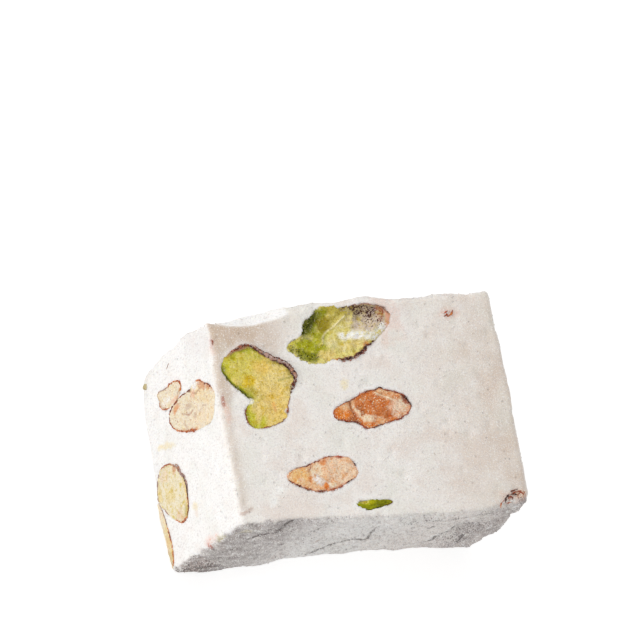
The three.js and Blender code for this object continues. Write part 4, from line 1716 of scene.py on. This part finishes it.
@dataclass
class KernelBody:
    """One cut kernel: a flush, finely broken face over a round back in its pocket."""

    kernel: Kernel
    sides: int = 300
    rings: int = 42
    backs: int = 8
    crowding: float = 1.7
    proud: float = 0.14
    bevel: float = 0.14
    back_step: float = 0.1
    rim_stain: float = 0.3
    rim_grit: float = 0.6
    rim_reach: float = 1.6
    rim_aside: float = 0.2

    def rim(self) -> tuple[Array, Array]:
        """The directions of its sides, and the outline's radius in each."""
        direction = np.arange(self.sides) * (2 * math.pi / self.sides)
        return direction, self.kernel.radius(direction)

    def face_height(self, spots: Spots) -> Array:
        """How far out the kernel's broken or cut face lies.

        Args:
            spots: Where the face's vertices lie.

        Returns:
            The out coordinate of each.
        """
        kernel = self.kernel
        raised = kernel.face is not Face.BOTTOM
        flush = self.proud * np.clip(0.55 + 1.6 * spots.warp, 0.0, 1.4) * raised
        places = np.stack([spots.u, spots.v, np.full(len(spots.u), kernel.deep)], axis=1)
        rise = kernel.grain * fractal(places, 0.6, 3) + kernel.crag * fractal(places, 2.2, 4, 3.0)
        rise += sum(mark.height(spots) for mark in kernel.marks if mark.rise)
        rise *= rising(spots.inward, 0.0, 0.8) * raised
        drop = 1 - np.sqrt(1 - np.clip(1 - spots.inward / self.bevel, 0, 1) ** 2)
        return BLOCK.surface(kernel.face, spots.u, spots.v) + flush * (1 - drop) + rise

    def coats(self, spots: Spots, hidden: int) -> Coats:
        """The paint of the face: the flesh, its marks, and the skin along the rim.

        Args:
            spots: Where the face's vertices lie.
            hidden: How many vertices of the back follow them.

        Returns:
            The paint of the face and the back.
        """
        kernel = self.kernel
        coats = Coats.plain(len(spots.u), kernel.ground, Hue.MILK, kernel.dust)
        rims = [
            Wash(
                run.tone.value[0], self.rim_stain, run.start, run.end, self.rim_reach * run.width,
                grit=self.rim_grit,
            )
            for run in kernel.skins
            if run.aside < self.rim_aside
        ]
        for mark in (*kernel.marks, *rims):
            coats.add_mark(mark, spots)
        back = Coats.plain(hidden, kernel.ground, Hue.MILK, kernel.dust)
        return Coats(*(np.concatenate(pair) for pair in zip(vars(coats).values(), vars(back).values())))

    def build(self, material: Any) -> Any:
        """Makes the kernel's object.

        Args:
            material: Its flesh's finish.

        Returns:
            The object.
        """
        kernel = self.kernel
        direction, radius = self.rim()
        shares = 1 - (1 - np.linspace(0, 1, self.rings + 1)[1:]) ** self.crowding
        front = [(self.flat(direction, radius * share), direction, radius * (1 - share)) for share in shares]
        front.append((self.flat(np.zeros(1), np.zeros(1)), np.zeros(1), np.full(1, radius.min())))
        local, around, inward = (np.concatenate([part[i] for part in front]) for i in range(3))
        spots = Spots.of(local, around, inward)
        local[:, 2] = self.face_height(spots)
        edge = local[-self.sides - 1:-1, 2]
        level = FACES[kernel.face].height(*kernel.at)
        back = []
        for number, turn in enumerate(np.linspace(0, 1, self.backs + 1)[:-1], start=1):
            ring = self.flat(direction, radius * math.sqrt(1 - turn * turn))
            ring[:, 2] = np.minimum(level - turn * kernel.deep, edge - self.back_step * number)
            back.append(ring)
        back.append(np.array([[*kernel.at, level - kernel.deep]]))
        points = FACES[kernel.face].to_block(np.concatenate([local, *back]))
        points[:, 2] = np.maximum(0, points[:, 2])
        coats = self.coats(spots, len(points) - len(local))
        return mesh_object(f"{kernel.name}_cut", points, self.faces(), coats, material)

    def flat(self, direction: Array, reach: Array) -> Array:
        """Points at a reach from the kernel's middle, with their out coordinate still 0."""
        u, v = self.kernel.at
        return np.stack([u + reach * np.cos(direction), v + reach * np.sin(direction), 0 * reach], axis=1)

    def faces(self) -> list[list[int]]:
        """The faces between the rings, and the fans at the middle and at the back's pole.

        Returns:
            The vertex numbers of each face.
        """
        front = np.arange(self.rings * self.sides).reshape(self.rings, self.sides)
        middle = self.rings * self.sides
        back = middle + 1 + np.arange(self.backs * self.sides).reshape(self.backs, self.sides)
        pole = middle + 1 + self.backs * self.sides
        number = np.concatenate([front, back])
        beside = np.roll(number, -1, axis=1)
        quads = np.stack([number[:-1], number[1:], beside[1:], beside[:-1]], axis=-1).reshape(-1, 4)
        fans = [[middle, here, after] for here, after in zip(number[0], beside[0])]
        fans += [[pole, after, here] for here, after in zip(number[-1], beside[-1])]
        return quads.tolist() + [[int(corner) for corner in face] for face in fans]


# ---- Geometry Nodes


class GrowthTree(Graph):
    """A Geometry Nodes tree with named inputs, run once on a seed mesh and then removed."""

    def __init__(self, name: str, inputs: dict[str, str]) -> None:
        """Starts a tree.

        Args:
            name: The tree's name.
            inputs: The kind of each named input besides the geometry and the material.
        """
        super().__init__(bpy.data.node_groups.new(name, "GeometryNodeTree"))
        sockets = self.tree.interface
        for way in ("OUTPUT", "INPUT"):
            sockets.new_socket(name="Geometry", in_out=way, socket_type="NodeSocketGeometry")
        self.keys = {
            label: sockets.new_socket(name=label, in_out="INPUT", socket_type=f"NodeSocket{kind}").identifier
            for label, kind in (inputs | {"Material": "Material"}).items()
        }
        self.entry = self.node("NodeGroupInput").outputs

    def given(self, label: str) -> Signal:
        """A named input as a signal."""
        return Signal(self, self.entry[label])

    def carried(self, name: str, kind: str) -> Any:
        """The attribute of that name that the seed mesh carries."""
        made = self.node("GeometryNodeInputNamedAttribute", {"data_type": kind}, {"Name": name})
        return made.outputs["Attribute"]

    def ruffled(self, shape: Any, scale: Signal, reach: Signal) -> Any:
        """Pushes the points of a shape about by noise.

        Args:
            shape: The shape's socket.
            scale: How many lumps the noise has on a metre.
            reach: How far it pushes, in metres.

        Returns:
            The socket of the ruffled shape.
        """
        push = self.node("ShaderNodeTexNoise", None, {"Scale": scale, "Detail": 3.0}).outputs["Color"]
        centred = self.first("ShaderNodeVectorMath", {0: push, 1: (0.5, 0.5, 0.5)}, {"operation": "SUBTRACT"})
        offset = self.first("ShaderNodeVectorMath", {0: centred, "Scale": reach}, {"operation": "SCALE"})
        return self.first("GeometryNodeSetPosition", {"Geometry": shape, "Offset": offset})

    def close(self, shape: Any) -> None:
        """Ends the tree: what it made is realized and gets its material.

        Args:
            shape: The socket of what it made.
        """
        real = self.first("GeometryNodeRealizeInstances", {"Geometry": shape})
        smooth = self.first("GeometryNodeSetShadeSmooth", {"Geometry": real})
        inputs = {"Geometry": smooth, "Material": self.entry["Material"]}
        self.node("NodeGroupOutput", None, {"Geometry": self.first("GeometryNodeSetMaterial", inputs)})

    def grow(self, name: str, seed: Any, values: dict[str, Any]) -> Any:
        """Runs the tree.

        Args:
            name: Name of the object that it makes.
            seed: The mesh object that it starts from.
            values: The value of each named input.

        Returns:
            A plain mesh object.
        """
        modifier = seed.modifiers.new(self.tree.name, "NODES")
        modifier.node_group = self.tree
        for label, value in values.items():
            modifier[self.keys[label]] = value
        graph = bpy.context.evaluated_depsgraph_get()
        mesh = bpy.data.meshes.new_from_object(
            seed.evaluated_get(graph), preserve_all_data_layers=True, depsgraph=graph
        )
        mesh.name = name
        seed.modifiers.remove(modifier)
        return link(name, mesh)


class SkinTree(GrowthTree):
    """Sweeps a ragged thread of seed skin along each line of edges, thick and thin as beads on a string."""

    sides: int = 7
    swell: float = 4.6
    sink: float = 1.4
    thinnest: float = 0.02
    finer: float = 2.3

    def __init__(self) -> None:
        """Builds the tree."""
        super().__init__("skin_thread", {"Fray": "Float", "Fray Size": "Float"})
        curve = self.first("GeometryNodeMeshToCurve", {"Mesh": self.entry["Geometry"]})
        scale = 1 / self.given("Fray Size")
        beads = Signal(self, self.first("ShaderNodeTexNoise", {"Scale": scale, "Detail": 2.0}))
        beads = (beads * self.swell - self.sink).at_least(self.thinnest)
        radius = Signal(self, self.carried("width", "FLOAT")) * beads
        inputs = {
            "Curve": self.first("GeometryNodeSetCurveRadius", {"Curve": curve, "Radius": radius}),
            "Profile Curve": self.first(
                "GeometryNodeCurvePrimitiveCircle", {"Resolution": self.sides, "Radius": 0.5}
            ),
            "Scale": self.first("GeometryNodeInputRadius", {}),
            "Fill Caps": True,
        }
        swept = self.first("GeometryNodeCurveToMesh", inputs)
        self.close(self.ruffled(swept, scale * self.finer, self.given("Fray")))


class ScatterTree(GrowthTree):
    """Scatters sugar grains over a surface, thicker where it is crumbly."""

    flattest: Triple = (0.6, 0.6, 0.5)
    widest: Triple = (1.3, 1.3, 1.0)
    turns: Triple = (FULL_TURN, FULL_TURN, FULL_TURN)

    def __init__(self) -> None:
        """Builds the tree."""
        kinds = {"Density": "Float", "Smallest": "Float", "Largest": "Float", "Seed": "Int"}
        super().__init__("sugar_grains", kinds)
        seed = self.given("Seed")
        density = Signal(self, self.carried(CRUMBLY, "FLOAT")) * self.given("Density")
        inputs = {"Mesh": self.entry["Geometry"], "Density": density, "Seed": seed}
        points = self.first("GeometryNodeDistributePointsOnFaces", inputs)
        limits = {2: self.entry["Smallest"], 3: self.entry["Largest"], 8: seed}
        size = self.node("FunctionNodeRandomValue", {"data_type": "FLOAT"}, limits).outputs[1]
        squash = self.drawn_between(self.flattest, self.widest, seed + 1)
        inputs = {
            "Points": points,
            "Instance": self.first("GeometryNodeMeshIcoSphere", {"Radius": 0.5, "Subdivisions": 1}),
            "Scale": self.first("ShaderNodeVectorMath", {0: squash, "Scale": size}, {"operation": "SCALE"}),
            "Rotation": self.drawn_between((0.0, 0.0, 0.0), self.turns, seed + 2),
        }
        self.close(self.first("GeometryNodeInstanceOnPoints", inputs))

    def drawn_between(self, lowest: Triple, highest: Triple, seed: Signal) -> Any:
        """A random vector between two for each grain."""
        settings = {"data_type": "FLOAT_VECTOR"}
        return self.first("FunctionNodeRandomValue", {0: lowest, 1: highest, 8: seed}, settings)


@dataclass(frozen=True)
class SugarGrains:
    """Loose sugar on the nougat's rubbed edges and crumbly faces."""

    density: float = 9e5
    smallest: float = 0.12
    largest: float = 0.42
    seed: int = 5

    def build(self, nougat: Any, material: Any) -> Any:
        """Makes the grains' object.

        Args:
            nougat: The nougat's object.
            material: Its finish.

        Returns:
            The object.
        """
        sizes = {"Smallest": self.smallest * MM, "Largest": self.largest * MM}
        values = {"Density": self.density, "Seed": self.seed, "Material": material}
        return ScatterTree().grow("sugar_grains", nougat, sizes | values)


class FleckTree(GrowthTree):
    """Puts a knobbly chip on each point, of the size and turn that the point carries."""

    def __init__(self) -> None:
        """Builds the tree."""
        super().__init__("pressed_flecks", {"Knob": "Float", "Knob Size": "Float"})
        inputs = {
            "Points": self.entry["Geometry"],
            "Instance": self.first("GeometryNodeMeshIcoSphere", {"Radius": 1.0, "Subdivisions": 4}),
            "Scale": self.carried("size", "FLOAT_VECTOR"),
            "Rotation": self.carried("turn", "FLOAT_VECTOR"),
        }
        placed = self.first("GeometryNodeInstanceOnPoints", inputs)
        real = self.first("GeometryNodeRealizeInstances", {"Geometry": placed})
        self.close(self.ruffled(real, 1 / self.given("Knob Size"), self.given("Knob")))


@dataclass(frozen=True)
class Strand:
    """One strand of seed skin: the points that it follows, in block axes, its tone and its width."""

    line: Array
    tone: Side
    width: float


@dataclass
class Threads:
    """Strands of seed skin, swept into one ragged piece."""

    name: str
    strands: list[Strand]
    spacing: float = 0.14
    fray: float = 0.2
    fray_size: float = 0.5
    tip: float = 0.25
    taper: float = 0.8

    def build(self, tree: SkinTree, material: Any) -> Any:
        """Makes the threads' object.

        Args:
            tree: The tree that sweeps them.
            material: The skin's finish.

        Returns:
            The object.
        """
        points, edges, widths, paint = [], [], [], []
        for number, strand in enumerate(self.strands):
            line = self.even(strand.line)
            count = len(line)
            edges += [[len(widths) + i, len(widths) + i + 1] for i in range(count - 1)]
            ends = np.minimum(np.arange(count), np.arange(count)[::-1]) * self.spacing
            widths += (strand.width * MM * np.clip(self.tip + ends / self.taper, 0, 1)).tolist()
            light, dark = strand.tone.value
            cloud = rising(fractal(line, 0.9, 3, 2.0 + number), -0.2, 0.25)[:, None]
            paint.append(blend(light.linear, dark.linear, cloud))
            points.append(line)
        mesh = bpy.data.meshes.new("skin_lines")
        mesh.from_pydata(BLOCK.to_frame(np.concatenate(points)).tolist(), edges, [])
        set_share(mesh, "width", np.array(widths))
        set_paint(mesh, PAINT, np.concatenate(paint))
        lines = link("skin_lines", mesh)
        values = {"Fray": self.fray * MM, "Fray Size": self.fray_size * MM, "Material": material}
        made = tree.grow(self.name, lines, values)
        bpy.data.objects.remove(lines)
        return made

    def even(self, line: Array) -> Array:
        """Spaces a line's points evenly.

        Args:
            line: One point a row.

        Returns:
            The new points.
        """
        total = np.concatenate([[0], np.cumsum(np.linalg.norm(np.diff(line, axis=0), axis=1))])
        places = np.linspace(0, total[-1], max(4, round(total[-1] / self.spacing)))
        return np.stack([np.interp(places, total, line[:, axis]) for axis in range(3)], axis=1)


def on_face(face: Face, u: Array, v: Array, lift: float, lowest: float = 0.0) -> Array:
    """Block points over a face's skin.

    Args:
        face: The face.
        u: First face coordinates.
        v: Second face coordinates.
        lift: How far above the skin they lie; nothing is lifted off the base.
        lowest: The least height over the board.

    Returns:
        One point a row.
    """
    out = BLOCK.surface(face, u, v) + (0.0 if face is Face.BOTTOM else lift)
    line = FACES[face].to_block(np.stack([u, v, out], axis=1))
    line[:, 2] = np.maximum(lowest, line[:, 2])
    return line


def rim_strand(kernel: Kernel, run: SkinRun) -> Strand:
    """The strand of a stretch of skin on a kernel's outline.

    Args:
        kernel: The kernel.
        run: The stretch.

    Returns:
        The strand.
    """
    around = np.radians(np.linspace(run.start, run.end, STRAND_STEPS))
    radius = kernel.radius(around) + run.aside - 0.5 * run.width
    u = kernel.at[0] + radius * np.cos(around)
    v = kernel.at[1] + radius * np.sin(around)
    return Strand(on_face(kernel.face, u, v, RIM_SKIN_LIFT + run.lift, run.width), run.tone, run.width)


def scrap_strand(scrap: Scrap) -> Strand:
    """The strand of a loose scrap of skin."""
    u, v = np.array(scrap.path).T
    return Strand(on_face(scrap.face, u, v, SCRAP_LIFT), scrap.tone, scrap.width)


@dataclass
class PressedFlecks:
    """The crumbs of nut and skin that are pressed into the nougat."""

    flecks: tuple[Fleck, ...] = FLECKS
    thickness: float = 0.2
    knob: float = 1.3
    knob_size: float = 0.7

    def build(self, tree: FleckTree, material: Any) -> Any:
        """Makes the flecks' object.

        Args:
            tree: The tree that shapes them.
            material: Their finish.

        Returns:
            The object.
        """
        points, sizes, turns, paint = [], [], [], []
        for fleck in self.flecks:
            form = FACES[fleck.face]
            u, v = fleck.at
            out = BLOCK.surface(fleck.face, np.array([u]), np.array([v]))[0]
            points.append(form.to_block(np.array([u, v, out])))
            sizes.append((fleck.half[0] * MM, fleck.half[1] * MM, self.thickness * MM))
            spin = Matrix.Rotation(math.radians(fleck.turn), 3, "Z")
            turns.append(tuple((Matrix(form.axes.T.tolist()) @ spin).to_euler()))
            paint.append(fleck.hue.linear)
        mesh = bpy.data.meshes.new("fleck_points")
        mesh.from_pydata(BLOCK.to_frame(np.array(points)).tolist(), [], [])
        for name, values in (("size", sizes), ("turn", turns)):
            layer = mesh.attributes.new(name, "FLOAT_VECTOR", "POINT")
            layer.data.foreach_set("vector", np.array(values).ravel())
        set_paint(mesh, PAINT, np.array(paint))
        spots = link("fleck_points", mesh)
        values = {"Knob": self.knob * MM, "Knob Size": self.knob_size * MM, "Material": material}
        made = tree.grow("pressed_flecks", spots, values)
        bpy.data.objects.remove(spots)
        return made


# ---- Studio


@dataclass(frozen=True)
class Softbox:
    """A square soft light that faces the origin."""

    name: str
    toward: Triple
    distance: float
    size: float
    power: float

    def place(self) -> None:
        """Adds the light."""
        direction = Vector(self.toward).normalized()
        data = bpy.data.lights.new(self.name, "AREA")
        data.size, data.energy = self.size, self.power
        light = link(self.name, data)
        light.location = direction * self.distance
        light.rotation_mode = "QUATERNION"
        light.rotation_quaternion = direction.to_track_quat("Z", "Y")


@dataclass(frozen=True)
class Studio:
    """A pale table under soft lights from the left and from behind, seen from above."""

    azimuth: float = -60.792
    elevation: float = 62.5469
    roll: float = -52.9834
    stand: Triple = (-0.37, -0.18571, 0.83402)
    lens: float = 282.44
    sensor: float = 36.0
    clip: Pair = (0.05, 10.0)
    softboxes: tuple[Softbox, ...] = (
        Softbox("key", (-0.9, -0.1, 0.42), 0.42, 0.2, 0.66),
        Softbox("back_light", (0.0, 0.8, 0.6), 0.6, 0.3, 0.85),
        Softbox("front_fill", (0.2, -1.0, 0.15), 0.6, 0.3, 0.36),
    )
    ambient: float = 0.665
    sky: tuple[float, ...] = (1.0, 0.99, 0.98, 1.0)
    floor_half: float = 2.0
    floor_drop: float = 0.0002
    floor_shade: float = 0.5
    floor_glow: float = 0.64

    def camera(self) -> None:
        """Sets up the camera."""
        azimuth, elevation, roll = (math.radians(v) for v in (self.azimuth, self.elevation, self.roll))
        level = math.cos(elevation)
        back = Vector((math.sin(azimuth) * level, -math.cos(azimuth) * level, math.sin(elevation)))
        right = (-back).cross(Vector((0, 0, 1))).normalized()
        down = (-back).cross(right)
        across = math.cos(roll) * right + math.sin(roll) * down
        up = math.sin(roll) * right - math.cos(roll) * down
        data = bpy.data.cameras.new("camera")
        data.lens, data.sensor_width = self.lens, self.sensor
        data.clip_start, data.clip_end = self.clip
        made = link("camera", data)
        made.matrix_world = Matrix.Translation(self.stand) @ Matrix((across, up, back)).transposed().to_4x4()
        bpy.context.scene.camera = made

    def lights(self) -> None:
        """The softboxes, and an even pale sky."""
        for softbox in self.softboxes:
            softbox.place()
        world = bpy.data.worlds.new("sky")
        world.use_nodes = True
        sky = world.node_tree.nodes["Background"].inputs
        sky["Color"].default_value = self.sky
        sky["Strength"].default_value = self.ambient
        bpy.context.scene.world = world
        bpy.context.scene.view_settings.view_transform = "Standard"

    def floor(self) -> None:
        """A plain pale table top."""
        half = self.floor_half
        mesh = bpy.data.meshes.new("table_top")
        corners = [(x * half, y * half, -self.floor_drop) for x, y in ((-1, -1), (1, -1), (1, 1), (-1, 1))]
        mesh.from_pydata(corners, [], [[0, 1, 2, 3]])
        graph = Shader("table_top")
        inputs = {
            "Base Color": (self.floor_shade, self.floor_shade, self.floor_shade, 1.0),
            "Roughness": 0.9,
            "Emission Color": (1.0, 1.0, 1.0, 1.0),
            "Emission Strength": self.floor_glow,
        }
        graph.close(inputs)
        mesh.materials.append(graph.material)
        floor = link("table_top", mesh)
        floor.visible_diffuse = False

    def build(self) -> None:
        """Sets up everything that isn't the object."""
        self.camera()
        self.lights()
        self.floor()


def settle(piece: Any, slot: str, *nodes: str) -> None:
    """Rides a finished piece on the body and says what it stands for.

    Args:
        piece: The object.
        slot: The record's material slot that its finish stands for; it is only logged.
        *nodes: The solids that it replaces.
    """
    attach(piece, BODY)
    if nodes:
        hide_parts(*nodes)
    LOG.info("%s: %d faces, slot %s", piece.name, len(piece.data.polygons), slot)


def main() -> None:
    """Dresses the frame."""
    logging.basicConfig(level=logging.INFO, format="%(name)s %(message)s")
    Studio().build()
    flesh = {kind: finish.material() for kind, finish in KERNEL_FINISHES.items()}
    skin = CrumbFinish("seed_skin", 0.5).material()
    crumb = CrumbFinish("crumb").material()
    nougat_finish = NougatFinish().material()
    nougat = NougatBody().build(nougat_finish)
    grains = SugarGrains().build(nougat, nougat_finish)
    settle(nougat, "nougat", "nougat")
    settle(grains, "nougat")
    sweep = SkinTree()
    for kernel in KERNELS:
        slot = kernel.flesh.slot
        settle(KernelBody(kernel).build(flesh[kernel.flesh]), slot, kernel.name)
        if kernel.skins:
            strands = [rim_strand(kernel, run) for run in kernel.skins]
            settle(Threads(f"{kernel.name}_skin", strands).build(sweep, skin), slot)
    settle(Threads("skin_scraps", [scrap_strand(scrap) for scrap in SCRAPS]).build(sweep, skin), "almond")
    settle(PressedFlecks().build(FleckTree(), crumb), "almond")


if __name__ == "__main__":
    main()
